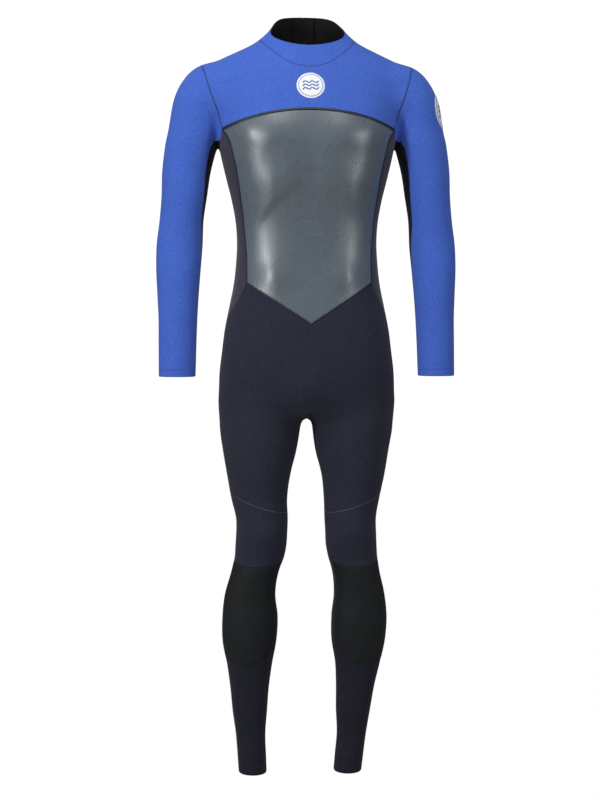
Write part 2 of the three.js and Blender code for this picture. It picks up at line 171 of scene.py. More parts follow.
CAMERA_FAR = 3.4  # m
CAMERA_YAW = math.radians(-4.5)  # the suit is turned a little to the viewer's right
CAMERA_HIGH = 0.95  # m above the hems
VIEW_CENTRE = (-0.012, 0.0, HEM_Z + 0.746)
VIEW_TALL = 1.584  # m in view at the suit, top to bottom
camera_data = bpy.data.cameras.new("camera")
camera_data.sensor_width = 36.0
camera_data.lens = 36.0 * CAMERA_FAR / VIEW_TALL
camera = bpy.data.objects.new("camera", camera_data)
camera.location = (
    VIEW_CENTRE[0] + CAMERA_FAR * math.sin(CAMERA_YAW),
    -CAMERA_FAR * math.cos(CAMERA_YAW),
    HEM_Z + CAMERA_HIGH,
)
look = Vector(VIEW_CENTRE) - camera.location
camera.rotation_mode = "QUATERNION"
camera.rotation_quaternion = look.to_track_quat("-Z", "Y")
bpy.context.scene.collection.objects.link(camera)
bpy.context.scene.camera = camera

# ---------------------------------------------------------------------------------------
# The worn form: the filled-out body that every panel of the suit is stretched over. It is
# worked in millimetres above the ankle hems, as smooth tubes that run into one another.
# ---------------------------------------------------------------------------------------
# [z, half width, front depth, back depth, squareness]
TORSO = [
    [690, 160, 74, 88, 2.0],
    [720, 168, 84, 99, 2.0],
    [750, 172, 95, 108, 2.1],
    [800, 172, 105, 111, 2.25],
    [842, 167, 108, 105, 2.3],
    [885, 161.5, 107, 98, 2.3],
    [930, 152.5, 103.5, 92, 2.3],
    [975, 143.5, 99.5, 88.5, 2.3],
    [1015, 139, 97, 86.5, 2.3],
    [1060, 137, 97, 86, 2.3],
    [1100, 140, 99, 86, 2.3],
    [1140, 147.5, 104, 86, 2.3],
    [1180, 157.5, 110.5, 86, 2.3],
    [1220, 167, 114.5, 86, 2.3],
    [1265, 176, 114, 86, 2.3],
    [1310, 184, 106, 86, 2.2],
    [1352, 192, 93, 86, 2.0],
    [1382, 201, 80, 86, 1.8],
    [1401, 186, 72, 86, 1.7],
    [1412, 166, 67, 86, 1.7],
    [1426, 136, 62, 86, 1.75],
    [1440, 107, 57, 86, 1.9],
    [1456, 85, 53.5, 86, 2.0],
    [1472, 70, 51.5, 85.7, 2.1],
    [1488, 63, 51, 83.5, 2.1],
    [1512, 60, 52, 80, 2.1],
]
# [z, centre x, centre y, half width, front depth, back depth]
ARM = [
    [795, 255, -16, 36, 31, 30],
    [861, 254, -12, 37, 34, 33],
    [909, 253, -8, 38, 37, 36],
    [956, 252.5, -4, 40.5, 40, 39],
    [1004, 251.5, 0, 43.5, 43, 42],
    [1051, 249, 4, 45, 43, 45],
    [1099, 245, 5, 43, 45, 45],
    [1146, 239.5, 5, 44.5, 48, 47],
    [1194, 235, 5, 47.5, 50, 50],
    [1241, 226, 5, 51, 52, 51],
    [1281, 216.5, 6, 53.5, 54, 52],
    [1310, 211, 7, 54, 54, 52],
]
# The weight is on one leg, so the two centre lines differ:
# [z, centre x right, centre x left, centre y, half width, front depth, back depth]
LEG = [
    [0, -107, 84, 18, 28, 34, 35],
    [30, -108.5, 87, 18, 28.5, 35, 36],
    [77, -111, 92, 18, 29.5, 34, 34],
    [125, -112.5, 95, 17, 34.5, 37, 36],
    [172, -113, 99, 16, 38.5, 40, 40],
    [220, -113, 103.5, 14, 45, 44, 48],
    [267, -113, 104.5, 12, 53.5, 50, 58],
    [315, -112, 105.5, 8, 55, 52, 63],
    [362, -112, 105, 4, 50, 50, 62],
    [410, -102, 97, -2, 47, 50, 56],
    [438, -94, 91, -5, 49, 49, 53],
    [462, -91, 88, -6, 50.5, 54, 52],
    [486, -89.5, 87, -6, 50.5, 60, 53],
    [512, -89, 86, -6, 51, 59.5, 56],
    [552, -94, 89, -3, 55, 63, 64],
    [600, -95, 92, 0, 62.5, 73, 73],
    [648, -93, 90, 2, 72.5, 80, 82],
    [695, -92, 91, 4, 79.5, 84, 92],
    [770, -86, 86, 4, 80, 84, 92],
]
DELTOID = {"x": 207, "y": 7, "z": 1322, "lean": 0.2, "size": (55, 54, 80)}
# Muscle and bone under the cloth, mirrored left and right:
# [centre x, z, face, out, across, up]; face -1 is the front
SWELLS = [
    [78, 1290, 1, 14, 40, 62],
    [72, 1262, -1, 9, 48, 38],
    [80, 770, 1, 12, 48, 50],
    [101, 1180, -1, 7, 32, 74],
    [120, 1262, -1, 4, 20, 26],
    [0, 1150, -1, -1.5, 24, 90],
    [72, 990, -1, 7, 28, 30],
    [0, 780, -1, 5, 30, 34],
]
# The edge of the ribs arches over the belly: height at the middle, fall per mm of x squared,
# how far it stands out, how softly above and below, and where it fades in x and over z
RIB_TOP, RIB_FALL, RIB_STEP, RIB_SOFT = 1170, 0.007, 6.5, (24.0, 8.0)
RIB_FROM, RIB_TO, RIB_UP = (0, 50), (70, 120), (20, 110)
# Height where each tube closes over inside the next one, and how softly it does so
TRUNK_END, ARM_END, LEG_END = (716, 40), (1318, 70), (775, 70)
ARM_SQUARENESS, LEG_SQUARENESS = 2.1, 2.0
# How softly neighbouring tubes run together, mm; under the arm it changes over these heights
SHOULDER_MELT, CROTCH_MELT, HIP_MELT, ARMPIT_MELT = 18, 12, 24, 10
MELT_CHANGES = [[1262, 1335, 30], [1372, 1425, -26]]
PROBE, LONGEST_MOVE = 0.5, 22  # mm


def smooth_rows(table):
    """Heights every 2 mm and the table's other columns there, on a smooth curve."""
    rows = np.array(table, float)
    z = rows[:, 0]
    tangent = np.gradient(rows, z, axis=0)
    fine = np.arange(z[0], z[-1] + 1, 2.0)
    i = np.clip(np.searchsorted(z, fine, side="right") - 1, 0, len(z) - 2)
    span = (z[i + 1] - z[i])[:, None]
    t = (fine - z[i])[:, None] / span
    curve = (2 * t**3 - 3 * t**2 + 1) * rows[i] + (t**3 - 2 * t**2 + t) * span * tangent[i]
    curve += (3 * t**2 - 2 * t**3) * rows[i + 1] + (t**3 - t**2) * span * tangent[i + 1]
    return fine, curve[:, 1:]


TORSO_FINE, ARM_FINE, LEG_FINE = smooth_rows(TORSO), smooth_rows(ARM), smooth_rows(LEG)


def columns_at(fine, z):
    heights, values = fine
    return [np.interp(z, heights, values[:, c]) for c in range(values.shape[1])]


def smoothstep(x, low, high):
    t = np.clip((x - low) / (high - low), 0, 1)
    return t * t * (3 - 2 * t)


def run_together(a, b, radius):
    """The smooth union of two distances."""
    h = np.clip(radius - np.abs(a - b), 0, None) / radius
    return np.minimum(a, b) - h * h * radius / 4


def tube_distance(x, y, half, front, back, squareness):
    depth = np.where(y < 0, front, back)
    reach = np.hypot(x, y) + 1e-6
    share = (np.abs(x) / half) ** squareness + (np.abs(y) / depth) ** squareness
    return reach * (1 - 1 / (share ** (1 / squareness) + 1e-9))


def muscle(x, y, z):
    """How far the form swells at x and z on the face that y is on."""
    out = np.zeros(len(x))
    for centre, height, face, rise, across, up in SWELLS:
        near = (np.abs(x) - centre) / across
        bump = rise * np.exp(-(near**2) - ((z - height) / up) ** 2)
        out += np.where(y * face > 0, bump, 0)
    above = z - RIB_TOP + RIB_FALL * x * x
    ribs = RIB_STEP * smoothstep(above, -RIB_SOFT[0], RIB_SOFT[1])
    ribs *= smoothstep(np.abs(x), *RIB_FROM) * (1 - smoothstep(np.abs(x), *RIB_TO))
    ribs *= 1 - smoothstep(above, *RIB_UP)
    return out + np.where(y < 0, ribs, 0)


def body_field(p):
    """A distance in mm from the worn form, below zero inside it."""
    x, y, z = p[:, 0], p[:, 1], p[:, 2]
    half, front, back, squareness = columns_at(TORSO_FINE, z)
    swell = muscle(x, y, z)
    torso = tube_distance(x, y, half, front + swell, back + swell, squareness)
    torso = -run_together(-torso, z - TRUNK_END[0], TRUNK_END[1])
    side = np.where(x < 0, -1.0, 1.0)
    ax, ay, a_half, a_front, a_back = columns_at(ARM_FINE, z)
    arm = tube_distance(side * x - ax, y - ay, a_half, a_front, a_back, ARM_SQUARENESS)
    arm = -run_together(-arm, ARM_END[0] - z, ARM_END[1])
    d_x = side * x - DELTOID["x"] - (DELTOID["z"] - z) * DELTOID["lean"]
    offset = np.stack([d_x, y - DELTOID["y"], z - DELTOID["z"]], 1)
    share = np.linalg.norm(offset / np.array(DELTOID["size"]), axis=1)
    deltoid = np.linalg.norm(offset, axis=1) * (1 - 1 / (share + 1e-9))
    shoulder = run_together(arm, deltoid, SHOULDER_MELT)
    softness = ARMPIT_MELT + sum(more * smoothstep(z, low, high) for low, high, more in MELT_CHANGES)
    body = run_together(torso, shoulder, softness)
    right, left, ly, l_half, l_front, l_back = columns_at(LEG_FINE, z)
    size = (l_half, l_front, l_back, LEG_SQUARENESS)
    legs = [tube_distance(x - centre, y - ly, *size) for centre in (right, left)]
    legs = run_together(legs[0], legs[1], CROTCH_MELT)
    legs = -run_together(-legs, LEG_END[0] - z, LEG_END[1])
    return run_together(body, legs, HIP_MELT)


def slope(p):
    base = body_field(p)
    steps = [body_field(p + np.eye(3)[k] * PROBE) - base for k in range(3)]
    return base, np.stack(steps, 1) / PROBE


def normals_at(p):
    _, g = slope(p.reshape(-1, 3))
    return (g / np.linalg.norm(g, axis=1)[:, None]).reshape(p.shape)


def settle(points, steps=9):
    """Points moved on to the form along its own slope."""
    p = points.reshape(-1, 3).copy()
    for _ in range(steps):
        value, g = slope(p)
        move = value / np.maximum((g * g).sum(1), 0.05)
        p -= np.clip(move, -LONGEST_MOVE, LONGEST_MOVE)[:, None] * g
    return p.reshape(points.shape)


def shoot(path, count, reach, halvings=34):
    """Where each of count paths, which start inside, leaves the form."""
    low, high = np.zeros(count), np.full(count, float(reach))
    for _ in range(halvings):
        middle = (low + high) / 2
        inside = body_field(path(middle)) < 0
        low, high = np.where(inside, middle, low), np.where(inside, high, middle)
    return path(low)


def on_face(x, z, face):
    """The surface point straight in front of (face -1) or behind (face 1) each x and z."""
    x, z = np.broadcast_arrays(np.asarray(x, float), np.asarray(z, float))
    return shoot(lambda t: np.stack([x, face * t, z], 1), len(x), 190)


def even(points, count):
    """The same line with count points spaced evenly."""
    gaps = np.linalg.norm(np.diff(points, axis=0), axis=1)
    along = np.concatenate([[0], np.cumsum(gaps)])
    at = np.linspace(0, along[-1], count)
    return np.stack([np.interp(at, along, points[:, k]) for k in range(3)], 1)


def patch(top, bottom, left, right, step=6.0, smoothings=60):
    """A grid of points on the form between four lines: top and bottom run the same way,
    left and right run from top to bottom."""
    wide = max(np.linalg.norm(np.diff(e, axis=0), axis=1).sum() for e in (top, bottom))
    tall = max(np.linalg.norm(np.diff(e, axis=0), axis=1).sum() for e in (left, right))
    columns, rows = int(wide / step) + 3, int(tall / step) + 3
    top, bottom = (settle(even(e, columns), 4) for e in (top, bottom))
    left, right = (settle(even(e, rows), 4) for e in (left, right))
    u = np.linspace(0, 1, columns)[None, :, None]
    v = np.linspace(0, 1, rows)[:, None, None]
    grid = (1 - v) * top[None] + v * bottom[None] + (1 - u) * left[:, None] + u * right[:, None]
    corners = (1 - u) * (1 - v) * top[0] + u * (1 - v) * top[-1]
    corners = corners + (1 - u) * v * bottom[0] + u * v * bottom[-1]
    grid = settle(grid - corners)
    grid[0], grid[-1], grid[:, 0], grid[:, -1] = top, bottom, left, right
    for _ in range(smoothings):
        around = grid[:-2, 1:-1] + grid[2:, 1:-1] + grid[1:-1, :-2] + grid[1:-1, 2:]
        grid[1:-1, 1:-1] = around / 4
    grid[1:-1, 1:-1] = settle(grid[1:-1, 1:-1])
    return grid


def to_frame(points):
    """Millimetres above the hems to metres in the row frame."""
    return (points - np.array([0, HANGER_Y, HANGER_Z])) / 1000


# ---------------------------------------------------------------------------------------
# The yoke: heather blue jersey bonded to 3 mm foam, one piece over the front of both
# shoulders and one each side of the zip behind. Its edges are glued and blindstitched flat.
# ---------------------------------------------------------------------------------------
NEOPRENE = 3.0  # mm
EDGE_ROUND = 0.8  # how far a glued edge is drawn down into its seam, mm
EDGE_WIDE = 1.7  # how wide that rounding is, mm
EDGE_LEAN = (0.75, 0.12)  # how far the shading leans outwards on that rounding and inside it
YOKE_MIDDLE, YOKE_END, YOKE_END_Z = 1306.0, 166.5, 1272.0
NECK_SEAM_FRONT, NECK_SEAM_SIDE = 1389.0, 1454.0
NECK_BACK = 86.0  # depth of the form at the foot of the collar
ZIP_SLOT = 17.0  # half the width of the zip opening, mm
ARMHOLE = [[1246, 173], [1256, 171], [1272, 166.5], [1305, 175], [1345, 190], [1401, 206], [1440, 212]]
ARM_CENTRE = (5.0, 1325.0)  # y and z of the middle of the armhole
STITCH = {"inset": 2.1, "every": 4.4, "long": 3.3, "wide": 0.45, "high": 0.45}  # mm


def finish_material(tree, settings, colour, rough=None, relief=None):
    """Ends a material with its shader; relief is a strength, a depth in metres and a height."""
    links = {"Base Color": colour}
    if rough:
        links["Roughness"] = rough
    if relief:
        strength, depth, height = relief
        depths = {"Strength": strength, "Distance": depth}
        links["Normal"] = node(tree, "ShaderNodeBump", depths, {"Height": height}).outputs["Normal"]
    shader = node(tree, "ShaderNodeBsdfPrincipled", settings, links)
    node(tree, "ShaderNodeOutputMaterial", links={"Surface": shader.outputs["BSDF"]})


def jersey(name, base, fleck, shade, fuzz=0.08, rough=0.85, contrast=0.16):
    """Nylon jersey laminated to foam. Dyed yarns of two tones are knitted together, so the
    eye sees a fine mottle a few millimetres across over a knit with a faint furry sheen."""
    material, tree, where = new_material(name)
    # yarns are 0.4 mm apart; the mottle is drawn 3 mm and 1.4 mm coarse so that it shows
    mottle = node(tree, "ShaderNodeTexNoise", {"Scale": 380.0, "Detail": 3.0, "Roughness": 0.7}, where)
    speck = node(tree, "ShaderNodeTexNoise", {"Scale": 700.0, "Detail": 2.0, "Roughness": 0.6}, where)
    wear = node(tree, "ShaderNodeTexNoise", {"Scale": 14.0, "Detail": 3.0}, where)
    stops = [(0.5 - contrast, shade), (0.5, base), (0.5 + contrast, fleck)]
    tones = node(tree, "ShaderNodeValToRGB", {"stops": stops}, {"Fac": mottle.outputs["Fac"]})
    stops = [(0.35, shade), (0.65, fleck)]
    flecks = node(tree, "ShaderNodeValToRGB", {"stops": stops}, {"Fac": speck.outputs["Fac"]})
    mixed = node(
        tree,
        "ShaderNodeMix",
        {"data_type": "RGBA", 0: 0.4},
        {6: tones.outputs["Color"], 7: flecks.outputs["Color"]},
    )
    worn = node(tree, "ShaderNodeMapRange", {3: 0.93, 4: 1.07}, {0: wear.outputs["Fac"]})
    faded = node(
        tree,
        "ShaderNodeHueSaturation",
        {"Saturation": 0.97},
        {"Color": mixed.outputs[2], "Value": worn.outputs[0]},
    )
    spread = {3: rough - 0.07, 4: rough + 0.07}
    matt = node(tree, "ShaderNodeMapRange", spread, {0: speck.outputs["Fac"]})
    knit = node(tree, "ShaderNodeTexVoronoi", {"Scale": 700.0}, where)
    finish_material(
        tree,
        {"IOR": 1.45, "Specular IOR Level": 0.22, "Sheen Weight": fuzz, "Sheen Roughness": 0.5},
        faded.outputs["Color"],
        matt.outputs[0],
        (0.3, 0.0006, knit.outputs["Distance"]),
    )
    return material


def polyester_thread(name, base, shade):
    """Twisted polyester sewing thread, a little glossier than the knit it is sewn into."""
    material, tree, where = new_material(name)
    # the ply is 0.2 mm; it is drawn 0.6 mm coarse
    ply = node(tree, "ShaderNodeTexNoise", {"Scale": 1600.0, "Detail": 1.0}, where)
    stops = [(0, shade), (1, base)]
    tone = node(tree, "ShaderNodeValToRGB", {"stops": stops}, {"Fac": ply.outputs["Fac"]})
    finish_material(tree, {"Roughness": 0.55, "Sheen Weight": 0.1}, tone.outputs["Color"])
    return material


BLUE_JERSEY = jersey("heather_blue_jersey", "#3962CC", "#4C78DC", "#2C52B8", contrast=0.22)
LINING = jersey("black_lining_jersey", "#131315", "#1B1B1E", "#0C0C0E", fuzz=0.04)
NAVY_THREAD = polyester_thread("navy_polyester_thread", "#1D2A52", "#141D3A")
BLACK_THREAD = polyester_thread("black_polyester_thread", "#3A3D4C", "#1B1C26")
BLUE_SET = [BLUE_JERSEY, LINING, NAVY_THREAD]


def bordered(grid, flush):
    """The grid with an extra line of points close inside each edge that isn't flush."""

    def inner_line(edge, inside):
        gap = np.linalg.norm(inside - edge, axis=1)[:, None] + 1e-6
        return edge + (inside - edge) * np.minimum(EDGE_WIDE / gap, 0.5)

    if "t" not in flush:
        grid = np.insert(grid, 1, inner_line(grid[0], grid[1]), axis=0)
    if "b" not in flush:
        grid = np.insert(grid, -1, inner_line(grid[-1], grid[-2]), axis=0)
    if "l" not in flush:
        grid = np.insert(grid, 1, inner_line(grid[:, 0], grid[:, 1]), axis=1)
    if "r" not in flush:
        grid = np.insert(grid, -1, inner_line(grid[:, -1], grid[:, -2]), axis=1)
    return grid


def edge_pair(grid, letter):
    """An edge of a grid and the line of points next inside it."""
    pairs = {
        "t": (grid[0], grid[1]),
        "b": (grid[-1], grid[-2]),
        "l": (grid[:, 0], grid[:, 1]),
        "r": (grid[:, -1], grid[:, -2]),
    }
    return pairs[letter]


def shell(grid, flush="", thickness=NEOPRENE, lift=0.0, slots=(0, 1)):
    """A chunk of mesh: a sheet of foam over a grid of points on the form, with its outer
    face, lining and cut edges. Sides named in flush (t, b, l, r) run on without a seam."""
    grid = bordered(grid, flush)
    rows, columns = grid.shape[:2]
    n = normals_at(grid)
    tilt = np.zeros_like(grid)
    sunk = np.zeros((rows, columns, 1))
    for letter in "tblr":
        if letter in flush:
            continue
        edge, inside = edge_pair(grid, letter)
        out = edge - inside
        out /= np.linalg.norm(out, axis=1)[:, None] + 1e-9
        edge_pair(tilt, letter)[0][:] += out * EDGE_LEAN[0]
        edge_pair(tilt, letter)[1][:] += out * EDGE_LEAN[1]
        edge_pair(sunk, letter)[0][:] = EDGE_ROUND
    face = grid + n * (lift - sunk)
    back = grid + n * (lift - thickness)
    up = n + tilt
    up /= np.linalg.norm(up, axis=2)[:, :, None]
    count = rows * columns
    index = np.arange(count).reshape(rows, columns)
    a, b = index[:-1, :-1].ravel(), index[:-1, 1:].ravel()
    c, d = index[1:, 1:].ravel(), index[1:, :-1].ravel()
    front = np.stack([a, b, c, d], 1)
    lining = np.stack([d, c, b, a], 1) + count
    loop = np.concatenate([index[0, :], index[1:, -1], index[-1, -2::-1], index[-2:0:-1, 0]])
    after = np.roll(loop, -1)
    rim = np.stack([after, loop, loop + count, after + count], 1)
    faces = np.concatenate([front, lining, rim])
    r, q = rows // 2, columns // 2
    cell = np.cross(grid[r, q] - grid[r, q - 1], grid[r, q] - grid[r - 1, q])
    if cell @ n[r, q] < 0:
        faces = faces[:, ::-1]
    slot = np.array([slots[0]] * len(front) + [slots[1]] * (len(lining) + len(rim)))
    verts = np.concatenate([face.reshape(-1, 3), back.reshape(-1, 3)])
    normals = np.concatenate([up.reshape(-1, 3), -n.reshape(-1, 3)])
    return verts, normals, faces, slot


def stitches(line, lift=0.0, slot=2, size=STITCH):
    """A chunk of mesh: short raised threads along a line of points on the form."""
    gaps = np.linalg.norm(np.diff(line, axis=0), axis=1)
    length = gaps.sum()
    count = max(int(length / size["every"]), 1)
    along = np.concatenate([[0], np.cumsum(gaps)])
    centre = (np.arange(count) + 0.5) * length / count
    ends = [centre - size["long"] / 2, centre, centre + size["long"] / 2]
    start, middle, end = (
        np.stack([np.interp(s, along, line[:, k]) for k in range(3)], 1) for s in ends
    )
    n = normals_at(middle)
    across = np.cross(n, end - start)
    across /= np.linalg.norm(across, axis=1)[:, None] + 1e-9
    start, middle, end = (p + n * lift for p in (start, middle, end))
    # two ends, two sides and a crown; ends and sides are sunk into the cloth
    low, half = middle - n * 0.1, across * size["wide"]
    corners = [start - n * 0.2, low + half, end - n * 0.2, low - half, middle + n * size["high"]]
    verts = np.stack(corners, 1).reshape(-1, 3)
    lean = across * 0.6
    normals = np.stack([n, n + lean, n, n - lean, n], 1).reshape(-1, 3)
    base = np.arange(count)[:, None] * 5
    faces = [base + np.array([4, (k + 1) % 4, k]) for k in range(4)]
    faces = np.concatenate([f[:, ::-1] for f in faces])
    return verts, normals, faces, np.full(len(faces), slot)


def seam_stitches(grid, letters, lift=0.0, slot=2):
    """Rows of stitches just inside the edges of a grid that are named in letters."""
    chunks = []
    for letter in letters:
        edge, inside = edge_pair(grid, letter)
        gap = np.linalg.norm(inside - edge, axis=1)[:, None] + 1e-6
        line = settle(edge + (inside - edge) * np.minimum(STITCH["inset"] / gap, 0.9), 2)
        chunks.append(stitches(line, lift, slot))
    return chunks


def ribbon(line, width, high=0.7, slot=0):
    """A chunk of mesh: a low flat-topped tape laid along a line of points on the form."""
    length = np.linalg.norm(np.diff(line, axis=0), axis=1).sum()
    line = settle(even(line, max(int(length / 5), 3)), 3)
    n = normals_at(line)
    along = np.gradient(line, axis=0)
    across = np.cross(n, along)
    across /= np.linalg.norm(across, axis=1)[:, None] + 1e-9
    half = width / 2
    # across, up, and how far the normal leans outwards
    profile = [[-half, -0.6, -1.2], [-half, high * 0.6, -0.9], [-half * 0.6, high, -0.25]]
    profile += [[half * 0.6, high, 0.25], [half, high * 0.6, 0.9], [half, -0.6, 1.2]]
    verts = np.stack([line + across * p[0] + n * p[1] for p in profile], 1)
    normals = np.stack([n + across * p[2] for p in profile], 1)
    rows, columns = verts.shape[:2]
    index = np.arange(rows * columns).reshape(rows, columns)
    a, b = index[:-1], np.roll(index, -1, axis=1)[:-1]
    c, d = np.roll(index, -1, axis=1)[1:], index[1:]
    faces = np.stack([a.ravel(), d.ravel(), c.ravel(), b.ravel()], 1).tolist()
    faces += [index[0].tolist(), index[-1][::-1].tolist()]
    cell = np.cross(verts[1, 2] - verts[0, 2], verts[0, 3] - verts[0, 2])
    if cell @ n[0] < 0:
        faces = [face[::-1] for face in faces]
    return verts.reshape(-1, 3), normals.reshape(-1, 3), faces, np.full(len(faces), slot)


def seam_bead(line, slot=2, width=1.5):
    """A chunk of mesh: the thin line of glue and buried thread along a butted seam."""
    return ribbon(line, width, -EDGE_ROUND + 0.55, slot)


def sew(name, chunks, materials, stands_for, slot, rides=None):
    """One piece in the row frame from chunks in millimetres above the hems: the CAD nodes it stands for,
    its slot, which is not used, and the body it rides, if any."""
    verts, normals, faces, slots = [], [], [], []
    start = 0
    for chunk_verts, chunk_normals, chunk_faces, chunk_slots in chunks:
        verts.append(chunk_verts)
        normals.append(chunk_normals)
        faces += [tuple(int(i) + start for i in face) for face in chunk_faces]
        slots += list(chunk_slots)
        start += len(chunk_verts)
    mesh = bpy.data.meshes.new(name)
    mesh.from_pydata(to_frame(np.concatenate(verts)).tolist(), [], faces)
    for material in materials:
        mesh.materials.append(material)
    mesh.polygons.foreach_set("material_index", slots)
    mesh.shade_smooth()
    mesh.normals_split_custom_set_from_vertices(np.concatenate(normals).tolist())
    mesh.update()
    made = bpy.data.objects.new(name, mesh)
    bpy.context.scene.collection.objects.link(made)
    if stands_for:
        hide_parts(stands_for)
    if rides:
        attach(made, rides)
    return made


def armhole_x(z):
    rows = np.array(ARMHOLE)
    return np.interp(z, rows[:, 0], rows[:, 1])


def armhole_loop(side, degrees):
    """Points of an armhole seam: -90 is the armpit, 0 the front, 90 the top, 180 the back."""
    angle = np.radians(degrees)

    def path(t):
        z = ARM_CENTRE[1] + t * np.sin(angle)
        y = ARM_CENTRE[0] - t * np.cos(angle)
        return np.stack([side * armhole_x(z), y, z], 1)

    return shoot(path, len(angle), 140)


def angle_at_height(low, high, height):
    """The armhole angle between two others at which the seam is at a height."""
    degrees = np.linspace(low, high, 400)
    return degrees[np.argmin(np.abs(armhole_loop(1, degrees)[:, 2] - height))]


def neck_loop(degrees):
    """Points of the seam at the foot of the collar: 0 is the front, 90 the left side."""
    angle = np.radians(degrees)

    def path(t):
        x, y = t * np.sin(angle), HANGER_Y - t * np.cos(angle)
        dip = np.minimum(NECK_SEAM_FRONT + 65 * (x / 100) ** 2, NECK_SEAM_SIDE)
        return np.stack([x, y, np.where(np.cos(angle) > 1e-6, dip, NECK_SEAM_SIDE)], 1)

    return shoot(path, len(angle), 200)


def shoulder_ridge(start, end, count=50):
    """The line along the top of a shoulder between two points on the form."""
    between = np.linspace(start, end, count)
    line = shoot(lambda t: np.stack([between[:, 0], between[:, 1], 1330 + t], 1), count, 200)
    line[0], line[-1] = start, end
    return line


def yoke_line(side, face, inner=0.0):
    """The seam across the bottom of the yoke, from near the middle out to the armhole."""
    x = np.linspace(inner, YOKE_END, 70)
    fall = (YOKE_MIDDLE - YOKE_END_Z) * (x / YOKE_END) ** 2
    line = on_face(side * x, YOKE_MIDDLE - fall, face)
    line[-1] = armhole_loop(side, [FRONT_LOW if face < 0 else BACK_LOW])[0]
    return line


def join(*lines):
    """Lines end to end as one line."""
    return np.concatenate([lines[0]] + [line[1:] for line in lines[1:]])


FRONT_LOW = angle_at_height(-80, 20, YOKE_END_Z)
BACK_LOW = angle_at_height(160, 260, YOKE_END_Z)
armhole_front = {s: armhole_loop(s, np.linspace(90, FRONT_LOW, 80)) for s in (-1, 1)}
armhole_back = {s: armhole_loop(s, np.linspace(90, BACK_LOW, 80)) for s in (-1, 1)}
neck_front = neck_loop(np.linspace(-90, 90, 120))
ridge = {
    -1: shoulder_ridge(armhole_front[-1][0], neck_front[0]),
    1: shoulder_ridge(armhole_front[1][0], neck_front[-1]),
}
yoke_grid = patch(
    join(ridge[-1], neck_front, ridge[1][::-1]),
    join(yoke_line(-1, -1)[::-1], yoke_line(1, -1)),
    armhole_front[-1],
    armhole_front[1],
)
chunks = [shell(yoke_grid)] + seam_stitches(yoke_grid, "lr")
sew("yoke_front_jersey", chunks, BLUE_SET, "front_yoke", "blue_jersey", "torso")

neck_back_end = 180 - math.degrees(math.asin(ZIP_SLOT / (NECK_BACK - HANGER_Y)))
for side, name in ((-1, "right"), (1, "left")):
    neck_back = neck_loop(np.linspace(side * neck_back_end, side * 90, 60))
    slot_z = np.linspace(NECK_SEAM_SIDE, YOKE_MIDDLE, 30)
    zip_edge = on_face(np.full(30, side * ZIP_SLOT), slot_z, 1)
    zip_edge[0] = neck_back[0]
    neck_back[-1] = ridge[side][-1]
    grid = patch(
        join(neck_back, ridge[side][::-1]),
        yoke_line(side, 1, ZIP_SLOT),
        join(zip_edge, yoke_line(side, 1, ZIP_SLOT)[:1]),
        armhole_back[side],
    )
    chunks, cad_node = [shell(grid)] + seam_stitches(grid, "tlrb"), f"back_yoke_{name}"
    sew(f"yoke_back_jersey_{name}", chunks, BLUE_SET, cad_node, "blue_jersey", "torso")

# ---------------------------------------------------------------------------------------
# The trunk: a smooth grey chest panel printed with a mesh of dots, navy back panels each
# side of the zip, and purplish side panels under the arms, all in 3 mm foam.
# ---------------------------------------------------------------------------------------
CHEST_SIDE = [[1272, 166.5], [1250, 153], [1200, 141], [1106, 127], [1034, 120.5], [977, 120.5]]  # z and x
HIP_CORNER = (120.5, 977.0)  # x and z
HIP_SIDE = [HIP_CORNER, [138, 940], [157, 910], [174, 880]]
V_TIP = 898.0
ZIP_SLOT_END = 1030.0


def mesh_skin(name):
    """Smooth satin rubber skin embossed with a slanting lattice of small dots, so the light
    runs down it in soft streaks broken up by the dots."""
    material, tree, where = new_material(name)
    slant = {"Rotation": (0.0, math.radians(45), 0.0)}
    turned = node(tree, "ShaderNodeMapping", slant, where)
    axes = node(tree, "ShaderNodeSeparateXYZ", links={"Vector": turned.outputs["Vector"]})
    # the dots are 3.8 mm apart; they are drawn 5 mm apart along the slant so that they show
    per_metre = {"operation": "MULTIPLY", 1: math.tau / 0.0071}
    waves = {}
    for k, axis in enumerate("XZ"):
        turns = node(tree, "ShaderNodeMath", per_metre, {0: axes.outputs[axis]})
        sine = node(tree, "ShaderNodeMath", {"operation": "SINE"}, {0: turns.outputs[0]})
        waves[k] = sine.outputs[0]
    dots = node(tree, "ShaderNodeMath", {"operation": "MULTIPLY"}, waves)
    round_dots = node(tree, "ShaderNodeMath", {"operation": "ABSOLUTE"}, {0: dots.outputs[0]})
    dimple = node(tree, "ShaderNodeMapRange", {1: 0.1, 2: 0.7}, {0: round_dots.outputs[0]})
    stops = [(0, "#3D464D"), (1, "#78858F")]
    tone = node(tree, "ShaderNodeValToRGB", {"stops": stops}, {"Fac": dimple.outputs[0]})
    haze = node(tree, "ShaderNodeTexNoise", {"Scale": 9.0, "Detail": 4.0}, where)
    worn = node(tree, "ShaderNodeMapRange", {3: 0.9, 4: 1.1}, {0: haze.outputs["Fac"]})
    colour = node(
        tree,
        "ShaderNodeHueSaturation",
        links={"Color": tone.outputs["Color"], "Value": worn.outputs[0]},
    )
    rough = node(tree, "ShaderNodeMapRange", {3: 0.24, 4: 0.31}, {0: haze.outputs["Fac"]})
    finish_material(
        tree,
        {"IOR": 1.5, "Coat Weight": 0.9, "Coat Roughness": 0.36},
        colour.outputs["Color"],
        rough.outputs[0],
        (0.35, 0.0005, dimple.outputs[0]),
    )
    return material


